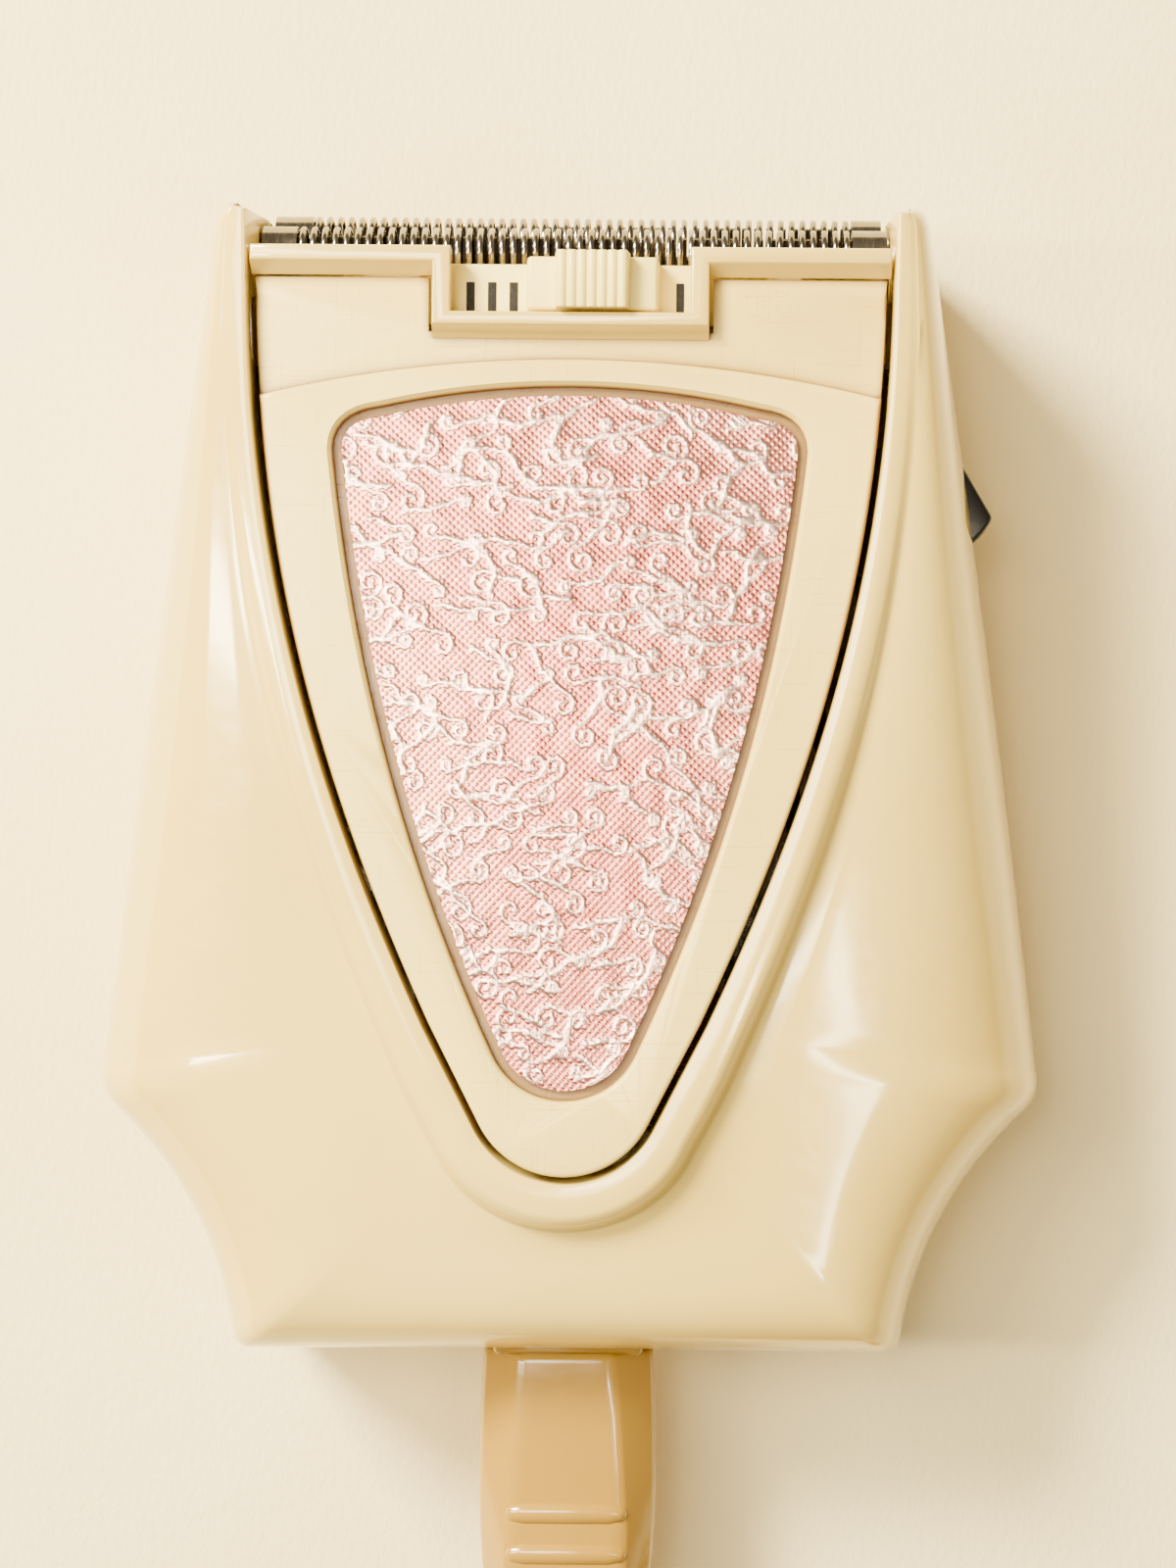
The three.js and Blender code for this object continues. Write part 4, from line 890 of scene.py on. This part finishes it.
def inlay_half():
    """Right half of the foil's outline."""
    tip = arc((0, 30.9), 6, -math.pi / 2, math.radians(-24))
    corner = bezier((19.9, 80), (20.4, 83.2), (INLAY_TOP_HALF_WIDTH, INLAY_TOP_Y))
    arch = arch_half(INLAY_TOP_HALF_WIDTH, INLAY_TOP_Y, INLAY_APEX_Y, 12)
    return samples(tip, 12) + samples(inlay_side, 24)[1:] + samples(corner, 8)[1:] + arch[1:]


def sloped_rings(outline, steps):
    """Rings at depths under the pad's surface, each grown by its own distance."""
    rings = []
    for grow, depth in steps:
        ring = grown(outline, grow) if grow else outline
        rings.append([(p.x, p.y, pad_height(p.y) - depth) for p in ring])
    return rings


def make_shield():
    material = MATERIALS["shield_plastic"]
    upper = [p for p in mirrored(shield_half(SHIELD_TOP_Y)) if p.y > 60]
    levels = ((-0.25, PLATE_Z), (-0.08, PLATE_Z - 0.07), (0, PLATE_Z - 0.25), (0, PLATE_Z - 1))
    rings = [[(p.x, p.y, z) for p in grown(upper, grow)] for grow, z in levels]
    plate = loft("shield", rings, material)
    cut(plate, box_tool((-12.5, 12.5), (91.1, 100), (20, 40)))
    lower = shield_half(PAD_STEP_Y)
    arch = arch_half(lower[-1].x, PAD_STEP_Y, PAD_STEP_APEX_Y, 24)
    pad_outline = mirrored(lower + arch[1:])
    edge = ((-0.5, 0), (-0.22, 0.05), (-0.06, 0.2), (0, 0.5), (0, SHIELD_THICKNESS))
    pad = loft("pad", sloped_rings(pad_outline, edge), material)
    recess = mirrored(inlay_half())
    walls = ((1.45, -0.4), (1.25, 0), (1.0, 0.12), (0.86, 0.4), (0.8, RECESS_DEPTH))
    shield = combine(plate, pad, "UNION")
    cut(shield, loft("tool", sloped_rings(recess, walls), material))
    shade(shield, 40)
    stands_for(shield, "housing", "shield_plastic", "shield_panel")


def scroll_points(rng):
    """Centrelines of the foil's embossed curls and stems, as dense (x, y) points."""
    points = []
    for row in range(25):
        for column in range(12):
            x = -20 + column * 3.6 + (1.8 if row % 2 else 0) + rng.uniform(-1, 1)
            y = 26 + row * 2.5 + rng.uniform(-0.6, 0.6)
            points += curl(x, y, rng)
    return points


def curl(x, y, rng):
    """One motif: a spiral that unrolls into a long, mostly level stem with a leaf or two."""
    size, hand = rng.uniform(0.5, 1.3), rng.choice((-1, 1))
    heading = rng.choice((0, math.pi)) + rng.uniform(-0.6, 0.6)
    turn = hand * 2 * math.pi * rng.uniform(0.8, 1.4)
    points = []
    for i in range(61):
        t = i / 60
        angle = heading - hand * math.pi / 2 - turn * (1 - t)
        radius = size * (0.2 + 0.8 * t)
        points.append((x + radius * math.cos(angle), y + radius * math.sin(angle)))
    at = Vector(points[-1])
    bend = -hand * rng.uniform(0.005, 0.035)
    for i in range(rng.randint(20, 60)):
        at = at + Vector((math.cos(heading), math.sin(heading))) * 0.1
        heading += bend
        points.append(tuple(at))
        if i % 22 == 14:
            points += leaf(at, heading - hand * 0.7, hand)
    return points


def leaf(at, heading, hand):
    points = []
    for i in range(16):
        turned = heading + hand * 0.05 * i
        points.append(tuple(at + Vector((math.cos(turned), math.sin(turned))) * 0.11 * i))
    return points


def ridge_share(tree, x, y):
    """1 on an embossed line, falling to 0 beside it."""
    _, _, distance = tree.find((x, y, 0))
    return math.exp(-((distance / RIDGE_WIDTH) ** 2))


def foil_height(tree, x, y):
    """Embossed relief above the foil's face, in millimetres."""
    swell = noise.noise((x * 0.5, y * 0.5, 3.1)) * 0.05
    return RIDGE_HEIGHT * ridge_share(tree, x, y) + swell


def foil_half_width(y, outline):
    """Half width of the foil's outline at a height."""
    for a, b in zip(outline, outline[1:]):
        if a.y <= y <= b.y:
            return lerp(a.x, b.x, (y - a.y) / max(b.y - a.y, 1e-6))
    return outline[-1].x


def scroll_tree():
    """The points of the embossed lines, for finding how near a point is to one."""
    scroll = scroll_points(random.Random(FOIL_SEED))
    tree = kdtree.KDTree(len(scroll))
    for i, (x, y) in enumerate(scroll):
        tree.insert((x, y, 0), i)
    tree.balance()
    return tree


def foil_top(tree):
    """Rows of points over the foil's embossed face, from its tip to its arched end."""
    side = [p for p in inlay_half() if p.y <= INLAY_TOP_Y + 0.0001][:-1]
    side.append(Vector((INLAY_TOP_HALF_WIDTH, INLAY_TOP_Y)))
    side = [p for i, p in enumerate(side) if i == 0 or p.y > side[i - 1].y]
    rise = arch_half(INLAY_TOP_HALF_WIDTH, INLAY_TOP_Y, INLAY_APEX_Y, 60)
    points = []
    for row in range(FOIL_ROWS + 1):
        v = row / FOIL_ROWS
        level = lerp(side[0].y + 0.02, INLAY_TOP_Y, v**0.9)
        width = foil_half_width(level, side)
        for column in range(FOIL_COLUMNS + 1):
            x = width * (2 * column / FOIL_COLUMNS - 1)
            reach = next((p.y for p in reversed(rise) if p.x >= abs(x) - 1e-6), INLAY_TOP_Y)
            y = level + (reach - INLAY_TOP_Y) * v**8
            points.append((x, y, pad_height(y) - INLAY_DEPTH + foil_height(tree, x, y)))
    return points


def foil_rim():
    """Indices of the face's outer points, once round."""
    across = FOIL_COLUMNS + 1
    rim = list(range(across))
    rim += [row * across + FOIL_COLUMNS for row in range(1, FOIL_ROWS + 1)]
    rim += [FOIL_ROWS * across + column for column in reversed(range(FOIL_COLUMNS))]
    rim += [row * across for row in reversed(range(1, FOIL_ROWS))]
    return rim


def foil_faces(rim, base):
    """The embossed face, the edge round it and one face underneath."""
    across = FOIL_COLUMNS + 1
    faces = []
    for row in range(FOIL_ROWS):
        for a in range(row * across, row * across + FOIL_COLUMNS):
            faces.append((a, a + 1, a + 1 + across, a + across))
    for i in range(len(rim)):
        j = (i + 1) % len(rim)
        faces.append((rim[i], rim[j], base + j, base + i))
    faces.append(tuple(base + i for i in range(len(rim))))
    return faces


def make_foil():
    tree = scroll_tree()
    points = foil_top(tree)
    rim = foil_rim()
    faces = foil_faces(rim, len(points))
    for x, y, _ in [points[i] for i in rim]:
        points.append((x, y, pad_height(y) - INLAY_DEPTH - INLAY_THICKNESS))
    foil = make_object("foil", [place(*p) for p in points], faces, MATERIALS["inlay_foil"], 80)
    ridge = foil.data.attributes.new(RIDGE, "FLOAT", "POINT")
    for vertex, value in zip(foil.data.vertices, ridge.data):
        x, y = vertex.co.x / MM, vertex.co.y / MM + MIDDLE_Y
        value.value = ridge_share(tree, x, y)
    stands_for(foil, "housing", "inlay_foil", "foil_inlay")


# ---------------------------------------------------------------- head


def head_place(x, out, front):
    """A point of the head's tilted frame: across, out of the head, towards the front face."""
    y = HEAD_ORIGIN[0] + out * math.cos(HEAD_TILT) - front * math.sin(HEAD_TILT)
    z = HEAD_ORIGIN[1] + out * math.sin(HEAD_TILT) + front * math.cos(HEAD_TILT)
    return (x, y, z)


def head_box(x, out, front):
    """Cutting box in the head's frame."""
    corners = [place(*head_place(a, b, c)) for c in front for a, b in rectangle(x, out)]
    return make_object("tool", corners, BOX_FACES, MATERIALS["steel"])


def bar_outline(drop, inset):
    """Front bar with its notch, its lower edges dropped and all edges moved in."""
    outer, inner = 12.1 - inset, WINDOW_HALF_WIDTH + inset
    bar_low, lip_low = 97 - drop + inset, 91.5 - drop + inset
    notch_low, top, end = 92.7 - inset, BAR_TOP_Y - inset, 28 - inset
    half = [(outer, lip_low), (outer, bar_low), (end, bar_low)]
    half += [(end, top), (inner, top), (inner, notch_low)]
    return half + [(-x, y) for x, y in reversed(half)]


def make_head_frame():
    material = MATERIALS["ivory_plastic"]
    levels = ((0, 0.22, BAR_FRONT_Z), (0, 0.06, BAR_FRONT_Z - 0.08), (0.06, 0, BAR_FRONT_Z - 0.26))
    levels += ((1.0, 0, PLATE_Z + 0.06), (0, 0, PLATE_Z), (0, 0, 27.4))
    rings = [[(x, y, z) for x, y in bar_outline(drop, inset)] for drop, inset, z in levels]
    bar = loft("head_bar", rings, material, 40)
    side = [(88.9, 4), (99.9, 4), (99.9, 6.4), (97.2, 22), (97.2, 25), (88.9, 25)]
    ring = bevelled(prism("ring", side, -27.9, 27.9, material, "x"), 0.3)
    cut(ring, box_tool((-26.3, 26.3), (80, 110), (5.7, 22.6)))
    cut(ring, head_box((-30, 30), (-1.1, 14), (-7.3, 8.9)))
    posts = [box_tool(x, (96.3, BAR_TOP_Y), (24.8, 27.5)) for x in ((-28, -20.2), (20.2, 28))]
    head = joined("head_surround", [bar, ring, *posts], material)
    stands_for(head, "housing", "ivory_plastic", "head_frame")


def arch_path(centre, radius):
    """(out, front) points over a comb, from its rear foot to its front foot."""
    spring = COMB_TOP - COMB_RADIUS
    over = [math.radians(180 - 15 * i) for i in range(13)]
    arch = [(spring + 0.93 * radius * math.sin(a), centre + radius * math.cos(a)) for a in over]
    return [(1.5, centre - radius), *arch, (1.5, centre + radius)]


def tooth(x, centre, material):
    """One rounded tooth of a comb: an arched bar."""
    middle = COMB_RADIUS - COMB_SHEET / 2
    path = arch_path(centre, middle)
    inside = arch_path(centre, middle - 1)
    rings = []
    for (out, front), (out_in, front_in) in zip(path, inside):
        normal = Vector((out - out_in, front - front_in)).normalized()
        ring = []
        for i in range(8):
            angle = 2 * math.pi * (i + 0.5) / 8
            across = 0.27 * math.cos(angle)
            thick = (COMB_SHEET / 2) * math.sin(angle)
            ring.append(head_place(x + across, out + normal.x * thick, front + normal.y * thick))
        rings.append(ring)
    return loft("tooth", rings, material, 60)


def comb_sheet(name, centre, x, low, material, whole):
    """A stretch of a comb's sheet: the full arch, or only its two feet when not whole."""
    outer, inner = arch_path(centre, COMB_RADIUS), arch_path(centre, COMB_RADIUS - COMB_SHEET)
    if whole:
        outline = [(low, outer[0][1]), *outer[1:-1], (low, outer[-1][1])]
        outline += [(low, inner[-1][1]), *inner[-2:0:-1], (low, inner[0][1])]
        pieces = [outline]
    else:
        pieces = [rectangle((low, 1.6), (outer[i][1], inner[i][1])) for i in (0, -1)]
    made = []
    for outline in pieces:
        rings = [[head_place(a, out, front) for out, front in outline] for a in x]
        made.append(loft(name, rings, material, 40))
    return made


def make_comb(name, centre, shift):
    """Two end caps, a sheet foot and a row of arched teeth between them."""
    material = MATERIALS["comb_steel"]
    cap = (COMB_TEETH - 1) / 2 + 0.5
    parts = []
    for x in ((-COMB_HALF_LENGTH, -cap - shift), (cap - shift, COMB_HALF_LENGTH)):
        parts += comb_sheet(name, centre, x, -0.7, material, True)
    parts += comb_sheet(name, centre, (-cap - shift, cap - shift), -0.7, material, False)
    parts += [tooth(i - (COMB_TEETH - 1) / 2 - shift, centre, material) for i in range(COMB_TEETH)]
    comb = joined(name, parts, material)
    shade(comb, 50)
    return comb


def make_combs():
    front = make_comb("front_shear_comb", COMB_OFFSET, 0)
    stands_for(front, "housing", "steel", "front_comb")
    rear = make_comb("rear_shear_comb", -COMB_OFFSET, -0.35)
    stands_for(rear, "housing", "steel", "rear_comb")


TICK_SPANS = (*((x, x + 0.75) for x in (-9.3, -7.4, -5.5)), (9.2, 9.9))


def make_selector():
    material = MATERIALS["slide_plastic"]
    x = SLIDE_CENTRE_X
    plate = bevelled(box_tool((-13.5, 17.3), (91.9, 97.3), (25.7, 26.7)), 0.15)
    foot = [(x - 5.9, 26.5), (x + 5.9, 26.5), (x + 5.7, 29.3), (x - 5.7, 29.3)]
    base = bevelled(prism("base", foot, 92.95, 97.6, material, "y"), 0.35, 3)
    ridge = []
    for i in range(71):
        across = -3.1 + 6.2 * i / 70
        flute = 0.3 * abs(math.sin(math.pi * 7 * i / 70)) ** 0.6
        ridge.append((x + across, 30.85 + flute))
    outline = [(x - 3.3, 29), (x + 3.3, 29), *reversed(ridge)]
    thumb = bevelled(prism("thumb", outline, 92.95, 97.9, material, "y"), 0.12, 2, 60)
    slide = joined("selector_thumb", [plate, base, thumb], material)
    stands_for(slide, "selector", "shield_plastic", "selector_slide")
    ticks = [box_tool(span, (93.1, 95.7), (26.65, 26.78)) for span in TICK_SPANS]
    ticks = [bevelled(tick, 0.04) for tick in ticks]
    marks = joined("selector_marks", ticks, MATERIALS["mark_ink"])
    stands_for(marks, "selector", "black_plastic")


# ---------------------------------------------------------------- rocker


def make_rocker():
    end = [math.radians(a) for a in (-45.3, -50, -54, -58, -62, -66, -70)]
    low = [(ROCKER_RADIUS * math.cos(a) - ROCKER_DEPTH, ROCKER_RADIUS * math.sin(a)) for a in end]
    low += [(-4.5, -5.2), (-6.3, -2)]
    outline = [(0, 0), *low, *[(x, -y) for x, y in reversed(low)]]
    outline = [(x, y + MIDDLE_Y) for x, y in outline]
    rocker = prism("rocker_key", outline, 9.8, 18.2, MATERIALS["black_plastic"])
    bevelled(rocker, 0.45, 3, 20)
    local = Matrix.Rotation(ROCKER_TILT, 4, "Z") @ Matrix.Translation((ROCKER_DEPTH * MM, 0, 0))
    local = Matrix.Translation((-ROCKER_DEPTH * MM, 0, 0)) @ local
    rocker.data.transform(switch_matrix() @ local)
    stands_for(rocker, "switch_rocker", "black_plastic", "rocker")


# ---------------------------------------------------------------- cord set


def softened(ring, times, share):
    """A closed ring with its corners cut back, times over."""
    for _ in range(times):
        cut_ring = []
        for a, b in zip(ring, ring[1:] + ring[:1]):
            cut_ring.append(a.lerp(b, share))
            cut_ring.append(b.lerp(a, share))
        ring = cut_ring
    return ring


def connector_ring(y, half_width, flat, thick):
    side = thick * 0.45
    right = [(half_width, -side), (half_width, side), (flat, thick)]
    left = [(-flat, thick), (-half_width, side), (-half_width, -side)]
    corners = right + left + [(-flat, -thick), (flat, -thick)]
    return softened([Vector((x, y, CONNECTOR_Z + z)) for x, z in corners], 2, 0.07)


def make_connector():
    material = MATERIALS["tan_plastic"]
    sections = (
        (-28.5, 3.9, 2.2, 3.9), (-28.1, 4.8, 3.0, 4.4), (-27.2, 5.7, 3.8, 4.8), (-26, 6.3, 4.3, 5.05),
        (-23, 7.25, 5.0, 5.2), (-20, 7.8, 5.35, 5.3), (-16, 8.05, 5.3, 5.3), (-12, 8.15, 5.0, 5.3),
        (-6, 8.05, 4.6, 5.2), (-1.2, 7.85, 4.2, 5.0), (-0.6, 7.75, 4.1, 4.9), (-0.4, 7.5, 3.9, 4.7),
    )
    body = loft("connector", [connector_ring(*section) for section in sections], material, 45)
    nose = bevelled(box_tool((-6.9, 6.9), (-0.9, 6.2), (CONNECTOR_Z - 3.8, CONNECTOR_Z + 3.8)), 0.8, 4)
    body = combine(body, nose, "UNION")
    for x in (-PIN_OFFSET, PIN_OFFSET):
        bore = [(x + 2.2 * math.cos(a), CONNECTOR_Z + 2.2 * math.sin(a)) for a in turn_angles(24)]
        cut(body, prism("tool", bore, -8, 10, material, "y"))
    ribs = [grip_rib(y, z, material) for y in GRIP_RIB_Y for z in (5.05, -5.05)]
    body = joined("plug_in_connector", [body, *ribs], material)
    shade(body, 40)
    return stands_for(body, "housing", "tan_plastic", "connector_body")


def grip_rib(y, z, material):
    """A rounded grip bar across the connector, tapering into its face at both ends."""
    rings = []
    for t in (-1, -0.97, -0.9, -0.7, 0, 0.7, 0.9, 0.97, 1):
        radius = math.sqrt(max(1 - abs(t) ** 9, 0.02))
        rings.append([(5.5 * t, y + radius * math.cos(a), CONNECTOR_Z + z + 0.7 * radius * math.sin(a))
                      for a in turn_angles(14)])
    return loft("rib", rings, material, 70)


def grooved_sleeve(name, x, z, y, radius, grooves, material):
    """A tapered strain relief with ring grooves, between two ends along Y."""
    rings = []
    steps = 8 * grooves
    for i in range(steps + 1):
        t = i / steps
        dip = 0.3 * max(0, math.sin(2 * math.pi * grooves * t)) if 0.04 < t < 0.96 else 0
        r = lerp(*radius, smooth(t)) - dip
        along = lerp(*y, t)
        rings.append([(x + r * math.cos(a), along, z + r * math.sin(a)) for a in turn_angles(28)])
    return loft(name, rings, material, 60)


def plug_ring(y, half_width, half_thick):
    """A rounded rectangle across the plug."""
    ring = []
    for a in turn_angles(48):
        c, s = math.cos(a), math.sin(a)
        x = half_width * math.copysign(abs(c) ** 0.45, c)
        z = half_thick * math.copysign(abs(s) ** 0.45, s)
        ring.append((PLUG_X + x, y, PLUG_Z + z))
    return ring


def make_plug():
    material = MATERIALS["tan_plastic"]
    sections = (
        (-66, 4.6, 4.2), (-65.7, 5, 4.6), (-64, 7.4, 5.7), (-62, 9.4, 6.5), (-58, 10.2, 6.8),
        (-52, 10.8, 7.3), (-48, 11, 7.45), (-46.7, 10.95, 7.4), (-46.2, 10.75, 7.2), (-46, 10.3, 6.8),
    )
    body = loft("plug", [plug_ring(*section) for section in sections], material, 50)
    for x in (PLUG_X - BLADE_OFFSET, PLUG_X + BLADE_OFFSET):
        cut(body, box_tool((x - 0.95, x + 0.95), (-51, -40), (PLUG_Z - 3.35, PLUG_Z + 3.35)))
    shade(body, 40)
    stands_for(body, "housing", "tan_plastic", "plug_body")
    sleeve = grooved_sleeve("plug_strain_relief", PLUG_X, PLUG_Z, (-73.7, -66.3), (2.7, 4.2), 3, material)
    stands_for(sleeve, "housing", "tan_plastic", "plug_relief")
    return [body, sleeve, *(make_blade(side) for side in ("left", "right"))]


def make_blade(side):
    x = PLUG_X + (-BLADE_OFFSET if side == "left" else BLADE_OFFSET)
    outline = [(x - 0.75, -50.7), (x + 0.75, -50.7), (x + 0.75, -31)]
    outline += [(x + 0.3, -30), (x - 0.3, -30), (x - 0.75, -31)]
    blade = prism("blade", outline, PLUG_Z - 3.15, PLUG_Z + 3.15, MATERIALS["brass"])
    hole = [(-34 + 1.5 * math.cos(a), PLUG_Z + 1.5 * math.sin(a)) for a in turn_angles(24)]
    cut(blade, prism("tool", hole, x - 3, x + 3, MATERIALS["brass"], "x"))
    bevelled(blade, 0.18, 2)
    blade.name = f"{side}_blade"
    return stands_for(blade, "housing", "brass", f"plug_blade_{side}")


def make_connector_relief():
    sleeve = grooved_sleeve(
        "connector_strain_relief", 0, CONNECTOR_Z, (-46, -28.8), (2.7, 3.6), 7, MATERIALS["tan_plastic"])
    return stands_for(sleeve, "housing", "tan_plastic", "connector_relief")


# ---------------------------------------------------------------- CAD nodes that stay as they are

LEAF_SPRINGS = [f"{row}_{side}_leaf_spring" for row in ("front", "rear") for side in ("left", "right")]


def both(pattern):
    """The left and the right name of a pair of nodes."""
    return [pattern.format(side) for side in ("left", "right")]


KEPT = {
    "steel": (
        "comb_tray", *LEAF_SPRINGS, "detent_spring", "motor_bracket", *both("bracket_screw_{}"),
        "pivot_pin", *both("{}_return_spring"), "rocker_pin",
        *(f"housing_screw_{number}" for number in range(1, 5)),
    ),
    "shade_dark_cutter_steel": ("front_cutter", "rear_cutter"),
    "laminated_iron": ("motor_core", "armature"),
    "copper_winding": both("{}_coil"),
    "pale_core": (*both("{}_bobbin"), "cutter_carrier"),
    "phenolic": ("drive_lever", "switch_frame", "inlet_block"),
    "brass": (
        "lever_bushing", "fixed_contact", "spring_contact", *both("inlet_pin_{}"),
        *both("connector_sleeve_{}"),
    ),
    "wire_sleeve": ("wire_inlet_to_switch", "wire_switch_to_coil", "wire_inlet_to_coil"),
    "black_plastic": ("cord_tie",),
}


def finish_kept_nodes():
    for material, names in KEPT.items():
        for name in names:
            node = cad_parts[name]
            for slot in node.material_slots:
                slot.link = "OBJECT"
                slot.material = MATERIALS[material]


# ---------------------------------------------------------------- the scene

make_camera()
make_floor()
make_light()
make_front_shell()
make_back_shell()
make_shield()
make_foil()
make_head_frame()
make_combs()
make_selector()
make_rocker()
make_connector()
make_connector_relief()
make_cord([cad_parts["cord_tie"], *make_plug()])
finish_kept_nodes()
